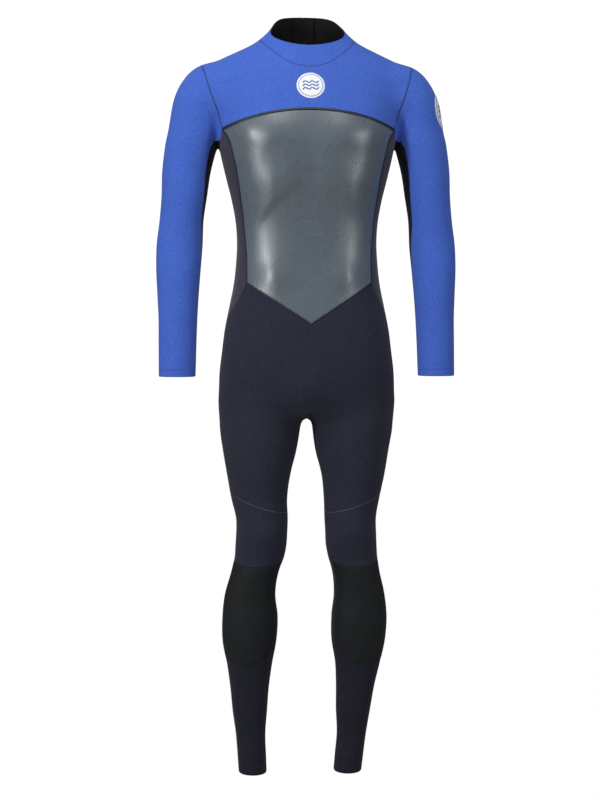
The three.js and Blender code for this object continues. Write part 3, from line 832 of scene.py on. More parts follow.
def bonded_tape(name, base, shade):
    """Thin rubber binding melted over a seam, with a soft satin shine along its crown."""
    material, tree, where = new_material(name)
    ripple = node(tree, "ShaderNodeTexNoise", {"Scale": 380.0, "Detail": 2.0}, where)
    stops = [(0, shade), (1, base)]
    tone = node(tree, "ShaderNodeValToRGB", {"stops": stops}, {"Fac": ripple.outputs["Fac"]})
    rough = node(tree, "ShaderNodeMapRange", {3: 0.4, 4: 0.55}, {0: ripple.outputs["Fac"]})
    height = ripple.outputs["Fac"]
    finish_material(
        tree, {"IOR": 1.5}, tone.outputs["Color"], rough.outputs[0], (0.2, 0.0004, height)
    )
    return material


def curtain(side, face, table, first, last, count=70):
    """A line on the front or back of the form that follows x over z in a table."""
    rows = np.array(table, float)
    z = np.linspace(first, last, count)
    x = np.interp(z, rows[::-1, 0], rows[::-1, 1])
    return on_face(side * x, z, face)


def v_line(side, face):
    """The slanting seam from the hip corner down to the middle."""
    share = np.linspace(0, 1, 40)
    z = HIP_CORNER[1] + (V_TIP - HIP_CORNER[1]) * share
    return on_face(side * HIP_CORNER[0] * (1 - share), z, face)


def hip_loop(side):
    """The seam under a side panel, from the front hip corner round to the back one."""
    rows = np.array(HIP_SIDE)
    angle = np.radians(np.linspace(78, -78, 160))

    def path(t):
        x = 60 + t * np.cos(angle)
        return np.stack([side * x, -t * np.sin(angle), np.interp(x, rows[:, 0], rows[:, 1])], 1)

    loop = shoot(path, len(angle), 190)
    loop = loop[np.abs(loop[:, 0]) > HIP_CORNER[0] + 1]
    return np.concatenate([v_line(side, -1)[:1], loop, v_line(side, 1)[:1]])


GREY_SKIN = mesh_skin("grey_mesh_skin")
NAVY_JERSEY = jersey("navy_jersey", "#282A38", "#333647", "#1F2130")
SIDE_JERSEY = jersey("purple_navy_jersey", "#36333F", "#454250", "#2A2733", fuzz=0.2)
BINDING = bonded_tape("navy_bonded_tape", "#1F2839", "#161D2A")

chest_side = {}
for side in (-1, 1):
    for face, low in ((-1, FRONT_LOW), (1, BACK_LOW)):
        line = curtain(side, face, CHEST_SIDE, YOKE_END_Z, HIP_CORNER[1])
        line[0] = armhole_loop(side, [low])[0]
        line[-1] = v_line(side, face)[0]
        chest_side[side, face] = line
front_v = join(v_line(-1, -1), v_line(1, -1)[::-1])
chest_top = join(yoke_line(-1, -1)[::-1], yoke_line(1, -1))
chunks = [shell(patch(chest_top, front_v, chest_side[-1, -1], chest_side[1, -1], 5.0))]
sew("chest_mesh_skin", chunks, [GREY_SKIN, LINING], "chest_panel", "grey_mesh_skin", "torso")

chunks = [ribbon(chest_top, 5.5, 0.9)]
sew("chest_seam_binding", chunks, [BINDING], "chest_seam_tape", "seam_binding", "torso")
chunks = [ribbon(chest_side[side, -1], 4.2) for side in (-1, 1)] + [ribbon(front_v, 3.6)]
sew("chest_side_binding", chunks, [BINDING], None, "seam_binding", "torso")

for side, name in ((-1, "right"), (1, "left")):
    slot_z = np.linspace(YOKE_MIDDLE, ZIP_SLOT_END, 50)
    zip_edge = on_face(np.full(50, side * ZIP_SLOT), slot_z, 1)
    below_z = ZIP_SLOT_END - np.array([4.0, 6.0, 8.0])
    below = on_face(side * np.array([12.0, 6.0, 1.0]), below_z, 1)
    centre = on_face(np.zeros(30), np.linspace(ZIP_SLOT_END - 10, V_TIP, 30), 1)
    grid = patch(
        yoke_line(side, 1, ZIP_SLOT),
        v_line(side, 1)[::-1],
        np.concatenate([zip_edge, below, centre]),
        chest_side[side, 1],
    )
    chunks, cloths = [shell(grid)] + seam_stitches(grid, "tblr"), [NAVY_JERSEY, LINING, BLACK_THREAD]
    sew(f"back_jersey_{name}", chunks, cloths, f"back_panel_{name}", "navy_jersey", "torso")
    grid = patch(
        armhole_loop(side, np.linspace(FRONT_LOW, BACK_LOW - 360, 60)),
        hip_loop(side),
        chest_side[side, -1],
        chest_side[side, 1],
    )
    chunks, cloths = [shell(grid)] + seam_stitches(grid, "tb"), [SIDE_JERSEY, LINING, BLACK_THREAD]
    sew(f"side_jersey_{name}", chunks, cloths, f"side_panel_{name}", "side_jersey", "torso")

# ---------------------------------------------------------------------------------------
# The collar: a stand-up band of the same blue jersey, higher behind than in front, open at
# the back above the zip, with the black lining showing inside it.
# ---------------------------------------------------------------------------------------
RIM_FRONT, RIM_AT_FRONT, RIM_RISE, RIM_FLATTENS = -52.0, 1439.0, 0.80, 0.0022
COLLAR_GAP, RIM_RADIUS = 0.3, 65.0  # half the gap left above the zip, and the rim's radius
COLLAR_CLOSES = (1472, 1488)  # heights between which the opening narrows to that gap


def rim_loop(degrees):
    """Points of the collar's top edge, which rises steeply and then levels out behind."""
    angle = np.radians(degrees)

    def path(t):
        x, y = t * np.sin(angle), HANGER_Y - t * np.cos(angle)
        back = y - RIM_FRONT
        return np.stack([x, y, RIM_AT_FRONT + back * RIM_RISE - back * back * RIM_FLATTENS], 1)

    return shoot(path, len(angle), 200)


neck_all = neck_loop(np.linspace(-neck_back_end, neck_back_end, 240))
rim_gap = 180 - math.degrees(math.asin(COLLAR_GAP / RIM_RADIUS))
rim_all = rim_loop(np.linspace(-rim_gap, rim_gap, 240))
collar_edges = {}
for side, end in ((-1, 0), (1, -1)):
    z = np.linspace(NECK_SEAM_SIDE, rim_all[end][2], 14)
    x = ZIP_SLOT + (COLLAR_GAP - ZIP_SLOT) * smoothstep(z, *COLLAR_CLOSES)
    line = on_face(side * x, z, 1)
    line[0], line[-1] = neck_all[end], rim_all[end]
    collar_edges[side] = line[::-1]
collar_grid = patch(rim_all, neck_all, collar_edges[-1], collar_edges[1], 4.5)
hem = collar_grid[2] * 0.4 + collar_grid[1] * 0.6
chunks = [shell(collar_grid)] + seam_stitches(collar_grid, "b")
chunks += [stitches(settle(hem, 2)), seam_bead(neck_all)]
sew("collar_jersey", chunks, BLUE_SET, "collar", "blue_jersey", "torso")

# ---------------------------------------------------------------------------------------
# The hips and seat: navy jersey panels that meet at the sides, split over the crotch by a small black
# gusset, whose black also serves as painted shade between the legs.
# ---------------------------------------------------------------------------------------
HIP_LOW = 700.0
CROTCH_CENTRE = (4.0, 800.0)  # y and z from which the middle lines are thrown out
MIDDLE_POINTS, GUSSET_FROM, GUSSET_ROWS = 60, 38, 31
# Black jersey for the underarm panels; on the crotch gusset its black is also painted shade.
BLACK_JERSEY_AND_CROTCH_SHADE = jersey("black_jersey", "#17171E", "#1F1F28", "#101015")


def leg_ring(side, degrees, z):
    """Points round a leg: 0 is the outside, 90 the front, 180 the inside."""
    angle = np.radians(degrees)
    z = np.broadcast_to(np.asarray(z, float), angle.shape)
    right, left, centre_y = columns_at(LEG_FINE, z)[:3]
    centre = right if side < 0 else left

    def path(t):
        return np.stack([centre + side * t * np.cos(angle), centre_y - t * np.sin(angle), z], 1)

    return shoot(path, len(angle), 130)


def middle_line(face):
    """The middle of the front or back, from the tip of the V down to the crotch."""
    centre_y, centre_z = CROTCH_CENTRE
    tip = on_face([0.0], [V_TIP], face)[0]
    first = math.atan2(tip[2] - centre_z, abs(tip[1] - centre_y))
    angle = np.linspace(first, -math.pi / 2, MIDDLE_POINTS)

    def path(t):
        y, z = centre_y + face * t * np.cos(angle), centre_z + t * np.sin(angle)
        return np.stack([0 * t, y, z], 1)

    line = shoot(path, MIDDLE_POINTS, 200)
    line[0], line[-1] = tip, CROTCH
    return line


CROTCH = shoot(
    lambda t: np.stack([0 * t, 0 * t + CROTCH_CENTRE[0], CROTCH_CENTRE[1] - t], 1), 1, 130
)[0]


hip_halves = {-1: [], 1: []}
for side in (-1, 1):
    loop = hip_loop(side)
    outer = int(np.argmax(np.abs(loop[:, 0])))
    ring_y = leg_ring(side, [0.0], HIP_LOW)[0][1]
    _, top_y, top_z = loop[outer]
    z = np.linspace(top_z, HIP_LOW, 60)
    y = top_y + (ring_y - top_y) * (top_z - z) / (top_z - HIP_LOW)
    side_seam = shoot(lambda t: np.stack([side * (60 + t), y, z], 1), 60, 160)
    side_seam[0] = loop[outer]
    for face in (-1, 1):
        top = loop[: outer + 1][::-1] if face < 0 else loop[outer:]
        ring = leg_ring(side, np.linspace(0, -180 * face, 80), HIP_LOW)
        side_seam[-1] = ring[0]
        upper, lower = join(top, v_line(side, face)), np.concatenate([ring, CROTCH[None]])
        hip_halves[face].append(patch(upper, lower, side_seam, middle_line(face)))
hip_names = ((-1, "hip_front_jersey", "front_hip_panel"), (1, "seat_jersey", "seat_panel"))
for face, name, cad_node in hip_names:
    chunks = []
    for grid in hip_halves[face]:
        chunks.append(shell(grid, flush="br" if face < 0 else "b"))
        chunks += seam_stitches(grid, "t" if face < 0 else "tr")
    cloths = [NAVY_JERSEY, LINING, BLACK_THREAD]
    sew(name, chunks, cloths, cad_node, "navy_jersey", "torso")

# The gusset is a real piece, but its black laid over the crotch also stands for the shade between the
# legs: painted shade.
under = join(middle_line(-1)[GUSSET_FROM:], middle_line(1)[GUSSET_FROM:][::-1])
under = even(under, GUSSET_ROWS)
half_width = 2 + 10 * np.sin(np.linspace(0, math.pi, GUSSET_ROWS)) ** 1.5
across = [np.array([1, 0, 0]) * (half_width * s)[:, None] for s in np.linspace(-1, 1, 9)]
grid = settle(np.stack([under + step for step in across], 1))
chunks = [shell(grid, thickness=1.6, lift=1.2)] + seam_stitches(grid, "lr", 1.2)
cloths = [BLACK_JERSEY_AND_CROTCH_SHADE, LINING, BLACK_THREAD]
sew("crotch_gusset_painted_shade", chunks, cloths, "crotch_gusset", "black_jersey", "torso")

# ---------------------------------------------------------------------------------------
# The sleeves: blue jersey tubes set into the armholes, with a dark panel under the arm that
# tapers out below the elbow, a seam down the inside, and a stitched hem at the wrist.
# ---------------------------------------------------------------------------------------
RING_TOP, ELBOW_TOP, ELBOW_LOW, HEM_TOP, CUFF = 1210.0, 1090.0, 980.0, 815.0, 795.0
UNDERARM = [[1010, 0.5], [1050, 12], [1090, 24], [1146, 33], [1210, 41]]


def arm_ring(side, degrees, z):
    """Points round a sleeve: 0 is the outside, 90 the front, 180 the inside."""
    angle = np.radians(degrees)
    z = np.broadcast_to(np.asarray(z, float), angle.shape)
    centre_x, centre_y = columns_at(ARM_FINE, z)[:2]

    def path(t):
        x, y = side * (centre_x + t * np.cos(angle)), centre_y - t * np.sin(angle)
        return np.stack([x, y, z], 1)

    return shoot(path, len(angle), 110)


def sleeve_rows(side, share, heights, dark):
    """Rings of the sleeve at several heights, between its two underarm seams."""
    rows = np.array(UNDERARM)
    z = np.repeat(np.asarray(heights, float)[:, None], len(share), 1)
    half = np.interp(z, rows[:, 0], rows[:, 1])
    degrees = 180 + half * share if dark else (180 - half) * share
    return arm_ring(side, degrees.ravel(), z.ravel()).reshape(len(z), len(share), 3)


def sleeve_cap(side, share, dark, count=28):
    """The part from the armhole seam down to the first level ring."""
    ring = sleeve_rows(side, share, [RING_TOP], dark)[0]
    if dark:
        middle = (FRONT_LOW + BACK_LOW - 360) / 2
        start = armhole_loop(side, middle - (FRONT_LOW - middle) * share)
    else:
        front, back = 90 - FRONT_LOW, BACK_LOW - 90
        start = armhole_loop(side, 90 - np.where(share > 0, front, back) * share)
    v = np.linspace(0, 1, count)[:, None, None]
    grid = settle((1 - v) * start[None] + v * ring[None], 12)
    grid[0] = start
    grid[-1] = ring
    return grid


def spread(*ends):
    """The two points in the frame between which a piece would pass from one body to the next; nothing here
    blends a piece between them.
    """
    return [to_frame(np.array(end, float)) for end in ends]


BLACK_SET = [BLACK_JERSEY_AND_CROTCH_SHADE, LINING, BLACK_THREAD]
wide, narrow = np.linspace(-1, 1, 59), np.linspace(-1, 1, 13)
upper = np.arange(RING_TOP, ELBOW_TOP - 1, -6.0)
middle = np.linspace(ELBOW_TOP, ELBOW_LOW, 20)
dark_rows = np.linspace(ELBOW_TOP, UNDERARM[0][0], 14)
lower = np.linspace(ELBOW_LOW, HEM_TOP, 28)
hem_rows = np.linspace(HEM_TOP, CUFF, 5)
for side, name in ((-1, "right"), (1, "left")):
    shoulder = spread([side * 173, 5, 1236], [side * 228, 5, 1141])
    elbow = spread([side * 249, 2, ELBOW_TOP], [side * 249, 2, ELBOW_LOW])
    arm, forearm = f"upper_arm_{name}", f"forearm_{name}"
    cap, dark_cap = sleeve_cap(side, wide, False), sleeve_cap(side, narrow, True)
    blue = [sleeve_rows(side, wide, rows, False) for rows in (upper, middle, lower, hem_rows)]
    dark = [sleeve_rows(side, narrow, rows, True) for rows in (upper, dark_rows)]
    hem_stitches = [stitches(blue[3][1]), stitches(settle(blue[3][1] * 0.6 + blue[3][2] * 0.4, 2))]
    # CAD node, colour of its cloth, chunks
    sleeve = [
        ["sleeve_cap", "blue", [shell(cap, "b"), seam_bead(cap[0])] + seam_stitches(cap, "tlr")],
        ["underarm_gusset", "black", [shell(dark_cap, "b")] + seam_stitches(dark_cap, "t")],
        ["upper_sleeve", "blue", [shell(blue[0], "tb")] + seam_stitches(blue[0], "lr")],
        ["underarm_panel", "black", [shell(dark[0], "tb")]],
        [
            "elbow_sleeve",
            "blue",
            [shell(blue[1], "tb"), shell(dark[1], "t", slots=(3, 1))] + seam_stitches(blue[1], "lr"),
        ],
        ["forearm_sleeve", "blue", [shell(blue[2], "tb")] + seam_stitches(blue[2], "lr")],
        ["wrist_hem", "blue", [shell(blue[3], "t")] + hem_stitches],
    ]
    for part, colour, chunks in sleeve:
        cloths = BLACK_SET if colour == "black" else BLUE_SET
        if part == "underarm_panel":
            cloths = [BLACK_JERSEY_AND_CROTCH_SHADE, LINING]
        elif part == "elbow_sleeve":
            cloths = BLUE_SET + [BLACK_JERSEY_AND_CROTCH_SHADE]
        piece = {"underarm_panel": "underarm"}.get(part, part)
        ridden = forearm if part in ("forearm_sleeve", "wrist_hem") else None
        slot, cad_node = f"{colour}_jersey", f"{part}_{name}"
        made = sew(f"{piece}_jersey_{name}", chunks, cloths, cad_node, slot, ridden)
        if part == "elbow_sleeve":
            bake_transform(made)
        elif not ridden:
            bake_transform(made)

# ---------------------------------------------------------------------------------------
# The legs: navy jersey over the thigh, a seam above the knee, a knee pad coated with
# textured rubber, and darker jersey over the shin and calf down to a stitched ankle hem.
# ---------------------------------------------------------------------------------------
THIGH_TOP, KNEE_TOP, KNEE_LOW, ANKLE_HEM = 590.0, 525.0, 385.0, 40.0
LEG_CENTRE = {-1: -92.0, 1: 87.0}
PAD_LIFT = 0.5  # the rubber stands this proud of the cloth, mm
# [z, angle of the inside seam]
LEG_IN = [[0, 158], [400, 156], [550, 155], [610, 163], [700, 180]]


def pad_rubber(name):
    """A knee pad coated with rubber and pressed with a fine hexagon grain; nearly matt, with
    a slight greenish cast and dust-like wear on the raised grain."""
    material, tree, where = new_material(name)
    # the real grain is 1.2 mm; it is drawn 2.5 mm coarse
    cells = node(tree, "ShaderNodeTexVoronoi", {"feature": "DISTANCE_TO_EDGE", "Scale": 400.0}, where)
    wear = node(tree, "ShaderNodeTexNoise", {"Scale": 60.0, "Detail": 5.0, "Roughness": 0.65}, where)
    grain = node(tree, "ShaderNodeMapRange", {1: 0.0, 2: 0.14}, {0: cells.outputs["Distance"]})
    stops = [(0.3, "#0F1315"), (0.7, "#1A1F21")]
    tone = node(tree, "ShaderNodeValToRGB", {"stops": stops}, {"Fac": wear.outputs["Fac"]})
    rough = node(tree, "ShaderNodeMapRange", {3: 0.5, 4: 0.75}, {0: wear.outputs["Fac"]})
    finish_material(
        tree,
        {"IOR": 1.5, "Specular IOR Level": 0.3},
        tone.outputs["Color"],
        rough.outputs[0],
        (0.5, 0.0005, grain.outputs[0]),
    )
    return material


def leg_rows(side, front, top, bottom, step=6.0, columns=37, first_guess=400.0):
    """Rings of one half of a leg from one height down to another; each is a number or a
    function of the angle."""
    table = np.array(LEG_IN, float)
    share = np.linspace(0, 1, columns)
    span = 1.0 if front else -1.0

    def angles(z):
        inner = np.interp(z, table[:, 0], table[:, 1])
        return span * share * (inner if front else 360 - inner)

    def heights(level):
        z = np.full(columns, first_guess)
        for _ in range(3):
            z = level(np.radians(angles(z))) if callable(level) else np.full(columns, float(level))
        return z

    high, low = heights(top), heights(bottom)
    count = int((high - low).max() / step) + 2
    v = np.linspace(0, 1, count)[:, None]
    z = high * (1 - v) + low * v
    degrees = np.array([angles(row) for row in z])
    return leg_ring(side, degrees.ravel(), z.ravel()).reshape(count, columns, 3)


def knee_seam(a):
    """Height of a seam at the angle a round the leg, 0 outside; so for the two below."""
    return 550 + 20 * np.cos(a) - 10 * np.sin(a)


def pad_top(a):
    return 430 - 8 * np.sin(a)


def pad_bottom(a):
    return 249 - 13 * np.cos(a) - 25 * np.sin(a)


SHIN_JERSEY = jersey("shin_jersey", "#1E1F2A", "#292A38", "#15161F")
KNEE_RUBBER = pad_rubber("knee_pad_rubber")
SEAM_GREY = polyester_thread("grey_polyester_thread", "#565A6C", "#3C4050")
NAVY_SET = [NAVY_JERSEY, LINING, SEAM_GREY]
SHIN_SET = [SHIN_JERSEY, LINING, BLACK_THREAD]
PAD_SET = [KNEE_RUBBER, LINING, BLACK_THREAD]

for side, name in ((-1, "right"), (1, "left")):
    centre = LEG_CENTRE[side]
    hip = spread([centre, 2, HIP_LOW], [centre, 2, THIGH_TOP])
    knee = spread([centre, -4, KNEE_TOP], [centre, -4, KNEE_LOW])
    thigh, shin = f"thigh_{name}", f"shin_{name}"
    # name, front half, top, bottom, flush sides, stitched sides, materials, CAD node, slot
    leg = [
        ["hip_front", True, HIP_LOW, THIGH_TOP, "tb", "lr", NAVY_SET, "navy_jersey"],
        ["hip_back", False, HIP_LOW, THIGH_TOP, "tb", "", NAVY_SET, "navy_jersey"],
        ["thigh_front", True, THIGH_TOP, knee_seam, "t", "blr", NAVY_SET, "navy_jersey"],
        ["thigh_back", False, THIGH_TOP, knee_seam, "t", "b", NAVY_SET, "navy_jersey"],
        ["knee_front", True, knee_seam, pad_top, "", "tlr", NAVY_SET, "navy_jersey"],
        ["knee_back", False, knee_seam, KNEE_LOW, "b", "t", NAVY_SET, "navy_jersey"],
        ["knee_pad_upper", True, pad_top, KNEE_LOW, "b", "t", PAD_SET, "knee_pad"],
        ["knee_pad_lower", True, KNEE_LOW, pad_bottom, "t", "b", PAD_SET, "knee_pad"],
        ["shin_front", True, pad_bottom, ANKLE_HEM, "b", "tlr", SHIN_SET, "shin_jersey"],
        ["calf_back", False, KNEE_LOW, ANKLE_HEM, "tb", "", SHIN_SET, "shin_jersey"],
    ]
    for part, front, top, bottom, flush, sewn, materials, slot in leg:
        grid = leg_rows(side, front, top, bottom)
        lift = PAD_LIFT if "pad" in part else 0.0
        chunks = [shell(grid, flush, lift=lift)] + seam_stitches(grid, sewn, lift)
        if part in ("knee_front", "knee_back", "knee_pad_upper", "shin_front"):
            chunks.append(seam_bead(grid[0], 1 if "knee_pad" in part else 2))
        bends = part.startswith("hip") or part in ("knee_front", "knee_back", "knee_pad_upper")
        ridden = None if bends else thigh if part.startswith("thigh") else shin
        made = sew(f"{part}_cloth_{name}", chunks, materials, f"{part}_{name}", slot, ridden)
        if part.startswith("hip"):
            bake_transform(made)
        elif bends:
            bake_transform(made)
    halves = [leg_rows(side, front, ANKLE_HEM, 0.0) for front in (True, False)]
    chunks = []
    for grid in halves:
        chunks.append(shell(grid, "tlr"))
        chunks += [stitches(grid[2]), stitches(settle(grid[2] * 0.5 + grid[3] * 0.5, 2))]
    sew(f"ankle_hem_cloth_{name}", chunks, SHIN_SET, f"ankle_hem_{name}", "shin_jersey", shin)

# ---------------------------------------------------------------------------------------
# The back zip: woven tapes with moulded teeth, a stop at the bottom, a slider with a flat
# puller, and a wide flap of foam inside that keeps the teeth off the skin.
# ---------------------------------------------------------------------------------------
ZIP_LOW, ZIP_HIGH, ZIP_Y, SLIDER_REST = 1026.0, 1476.0, 86.0, 1462.0


def webbing(name, base, shade):
    """Tightly woven polyester tape: small ribs across it and a dull sheen."""
    material, tree, where = new_material(name)
    axes = node(tree, "ShaderNodeSeparateXYZ", links=where)
    # ribs are 0.6 mm apart; they are drawn 1.5 mm coarse
    per_metre = {"operation": "MULTIPLY", 1: math.tau / 0.0015}
    turns = node(tree, "ShaderNodeMath", per_metre, {0: axes.outputs["Z"]})
    ribs = node(tree, "ShaderNodeMath", {"operation": "SINE"}, {0: turns.outputs[0]})
    fuzz = node(tree, "ShaderNodeTexNoise", {"Scale": 900.0, "Detail": 2.0}, where)
    stops = [(0, shade), (1, base)]
    tone = node(tree, "ShaderNodeValToRGB", {"stops": stops}, {"Fac": fuzz.outputs["Fac"]})
    rough = node(tree, "ShaderNodeMapRange", {3: 0.6, 4: 0.8}, {0: fuzz.outputs["Fac"]})
    finish_material(
        tree,
        {"Sheen Weight": 0.15},
        tone.outputs["Color"],
        rough.outputs[0],
        (0.4, 0.0004, ribs.outputs[0]),
    )
    return material


def moulded_resin(name, base, shade):
    """Moulded acetal with a soft shine and a slightly clouded skin worn by rubbing."""
    material, tree, where = new_material(name)
    cloud = node(tree, "ShaderNodeTexNoise", {"Scale": 300.0, "Detail": 3.0}, where)
    stops = [(0, shade), (1, base)]
    tone = node(tree, "ShaderNodeValToRGB", {"stops": stops}, {"Fac": cloud.outputs["Fac"]})
    rough = node(tree, "ShaderNodeMapRange", {3: 0.28, 4: 0.5}, {0: cloud.outputs["Fac"]})
    finish_material(tree, {"IOR": 1.48}, tone.outputs["Color"], rough.outputs[0])
    return material


def block(low, high, round_by, slot=0, taper=0.0):
    """A chunk of mesh: a box with rounded edges, narrowed in x towards its low z end."""
    low, high = np.array(low, float), np.array(high, float)
    form = bmesh.new()
    bmesh.ops.create_cube(form, size=1.0)
    for v in form.verts:
        spot = np.array(v.co) + 0.5
        place = low + (high - low) * spot
        middle = (low[0] + high[0]) / 2
        if spot[2] < 0.5:
            place[0] = middle + (place[0] - middle) * (1 - taper)
        v.co = place
    bmesh.ops.bevel(
        form, geom=form.edges[:], offset=round_by, segments=2, profile=0.5, affect="EDGES"
    )
    form.normal_update()
    form.verts.index_update()
    verts = np.array([v.co for v in form.verts])
    normals = np.array([v.normal for v in form.verts])
    faces = [[v.index for v in f.verts] for f in form.faces]
    form.free()
    return verts, normals, faces, np.full(len(faces), slot)


def loop_bar(centre_line, half_wide, half_thick, slot=0):
    """A chunk of mesh: a flat bar that runs round a closed line in the x-z plane."""
    line = np.array(centre_line, float)
    along = np.roll(line, -1, axis=0) - np.roll(line, 1, axis=0)
    along /= np.linalg.norm(along, axis=1)[:, None]
    across = np.cross(along, [0, 1.0, 0])
    corner = 0.35  # share of each side that is left flat
    profile = [[-1, -corner], [-1, corner], [-corner, 1], [corner, 1]]
    profile += [[1, corner], [1, -corner], [corner, -1], [-corner, -1]]
    up = np.array([0, 1.0, 0])
    rings = [line + across * p[0] * half_wide + up * p[1] * half_thick for p in profile]
    verts, normals = np.stack(rings, 1), np.stack([across * p[0] + up * p[1] for p in profile], 1)
    index = np.arange(len(line) * 8).reshape(-1, 8)
    after = np.roll(index, -1, axis=0)
    quads = (index, np.roll(index, -1, 1), np.roll(after, -1, 1), after)
    faces = np.stack([corner.ravel() for corner in quads], 1)
    turn = np.cross(verts[0, 1] - verts[0, 0], verts[1, 0] - verts[0, 0])
    if turn @ normals[0, 0] < 0:
        faces = faces[:, ::-1]
    return verts.reshape(-1, 3), normals.reshape(-1, 3), faces, np.full(len(faces), slot)


WEBBING = webbing("black_woven_tape", "#232328", "#131316")
RESIN = moulded_resin("black_zip_resin", "#1C1C20", "#101013")

TOOTH_PITCH, TOOTH_TALL = 3.2, 1.35
TAPE_SUNK, TAPE_THICK = 0.9, 1.2
for side, name in ((-1, "right"), (1, "left")):
    z = np.linspace(ZIP_HIGH, ZIP_LOW, 76)
    x = np.linspace(3.3, ZIP_SLOT + 1.5, 5)
    grid = np.stack([on_face(np.full(76, side * a), z, 1) for a in x], 1)
    grid[:, :, 1] = np.minimum(grid[:, :, 1], ZIP_Y + 0.2)
    chunks = [shell(grid, thickness=TAPE_THICK, lift=-TAPE_SUNK), stitches(grid[:, 3], -TAPE_SUNK)]
    cloths, cad_node = [WEBBING, WEBBING, SEAM_GREY], f"zip_tape_{name}"
    sew(f"zip_tape_woven_{name}", chunks, cloths, cad_node, "zip_webbing", "torso")
    ends = sorted((side * 0.9, side * 4.6))
    low, high = (ends[0], ZIP_Y - 1.9, ZIP_LOW + 4), (ends[1], ZIP_Y - 0.9, ZIP_HIGH - 2)
    chunks = [block(low, high, 0.2)]
    ends = sorted((side * -0.9, side * 3.6))
    start = ZIP_LOW + 5 + (TOOTH_PITCH / 2 if side > 0 else 0)
    for low in np.arange(start, ZIP_HIGH - 4, TOOTH_PITCH):
        high = (ends[1], ZIP_Y + 1.0, low + TOOTH_TALL)
        chunks.append(block((ends[0], ZIP_Y - 2.8, low), high, 0.35))
    sew(f"zip_teeth_row_{name}", chunks, [RESIN], f"zip_teeth_{name}", "zip_resin", "torso")

chunks = [
    block((-3.4, ZIP_Y - 3, ZIP_LOW - 1.4), (3.4, ZIP_Y + 1.6, ZIP_LOW + 3.6), 0.7),
    block((-2.4, ZIP_Y - 2, ZIP_LOW + 3.4), (2.4, ZIP_Y + 1.0, ZIP_LOW + 5.0), 0.4),
]
sew("zip_stop", chunks, [RESIN], "zip_bottom_stop", "zip_resin", "torso")

FLAP_TOP, FLAP_HALF, FLAP_THICK, FLAP_SUNK = 1505, 22, 2.6, 4.6
z = np.linspace(FLAP_TOP, ZIP_LOW + 6, 70)
grid = np.stack([on_face(0 * z + x, z, 1) for x in np.linspace(-FLAP_HALF, FLAP_HALF, 9)], 1)
chunks = [shell(grid, thickness=FLAP_THICK, lift=-FLAP_SUNK, slots=(0, 0))]
sew("zip_flap_foam", chunks, [LINING], "zip_flap", "zip_webbing", "torso")

low, high = SLIDER_REST - 6, SLIDER_REST + 6
outer = ZIP_Y + 1.4
# upper wing, its nose, lower wing, the post between them, two feet and the arch over them
chunks = [
    block((-5.8, outer, low + 4), (5.8, outer + 1.6, high), 0.7, taper=0.12),
    block((-5.1, outer, low), (5.1, outer + 1.5, low + 4.4), 0.7, taper=0.35),
    block((-5.8, ZIP_Y - 5.0, low + 1), (5.8, ZIP_Y - 3.4, high), 0.6, taper=0.3),
    block((-0.55, ZIP_Y - 4.0, high - 4), (0.55, outer + 0.5, high - 0.6), 0.2),
    block((-1.2, outer + 1.0, SLIDER_REST - 5), (1.2, outer + 4.6, SLIDER_REST - 3.8), 0.3),
    block((-1.2, outer + 1.0, SLIDER_REST + 3.8), (1.2, outer + 4.6, SLIDER_REST + 5), 0.3),
    block((-1.2, outer + 3.7, SLIDER_REST - 5), (1.2, outer + 4.9, SLIDER_REST + 5), 0.4),
]
sew("zip_slider_body", chunks, [RESIN], "zip_slider", "zip_resin", "zip_slider")

puller_y = outer + 2.7
ends = np.linspace(0, math.pi, 7)
top_arc = [[4.1 * math.cos(a), 1.2 + 0.8 * math.sin(a)] for a in ends]
low_arc = [[-4.1 * math.cos(a), -9.5 - 1.2 * math.sin(a)] for a in ends]
ring = [[x, puller_y, SLIDER_REST + z] for x, z in top_arc + low_arc]
chunks = [loop_bar(ring, 0.6, 0.6)]
# half width, half thickness, bottom and top of the tab and of the raised grip on it
for half, thick, low, high in ((4.9, 0.6, 32, 9.5), (3.6, 0.9, 29, 14)):
    low_corner = (-half, puller_y - thick, SLIDER_REST - low)
    chunks.append(block(low_corner, (half, puller_y + thick, SLIDER_REST - high), 0.5))
sew("zip_puller_tab", chunks, [RESIN], "zip_puller", "zip_resin", "zip_puller")

# ---------------------------------------------------------------------------------------
# The collar strap: a short curved tab of laminated webbing that closes over the top of the
# zip on to a patch of hook-and-loop, sewn round its edge.
# ---------------------------------------------------------------------------------------
TAB_FROM, TAB_TO, TAB_LOW, TAB_HIGH = -34.0, 30.0, 1482.0, 1499.0
TAB_THICK, TAB_LIFT = 2.0, 4.0
tab_x = TAB_FROM + (TAB_TO - TAB_FROM) * (1 - np.cos(np.linspace(0, math.pi, 29))) / 2
half_tall = (TAB_HIGH - TAB_LOW) / 2
from_end = np.minimum(TAB_TO - tab_x, half_tall) / half_tall
reach = half_tall * np.sqrt(np.maximum(1 - (1 - from_end) ** 2, 0.02))
tab_grid = np.stack(
    [on_face(tab_x, (TAB_LOW + TAB_HIGH) / 2 + s * reach, 1) for s in np.linspace(1, -1, 7)], 0
)
chunks = [shell(tab_grid, thickness=TAB_THICK, lift=TAB_LIFT, slots=(0, 0))]
chunks += seam_stitches(tab_grid, "tblr", TAB_LIFT, 1)
cloths = [WEBBING, SEAM_GREY]
sew("collar_tab_webbing", chunks, cloths, "collar_tab", "zip_webbing", "collar_tab")
x = np.linspace(9, 27, 7)
grid = np.stack([on_face(x, 0 * x + z, 1) for z in np.linspace(TAB_HIGH - 2, TAB_LOW + 2, 5)], 0)
chunks = [shell(grid, thickness=1.4, lift=1.0, slots=(0, 0))]
sew("collar_loop_patch", chunks, [WEBBING], None, "zip_webbing", "torso")

# ---------------------------------------------------------------------------------------
# The prints: a white round badge on the chest and one on the left sleeve, each with a plain
# wave device, and two plain bars down the outside of the right shin, all heat-pressed.
# ---------------------------------------------------------------------------------------


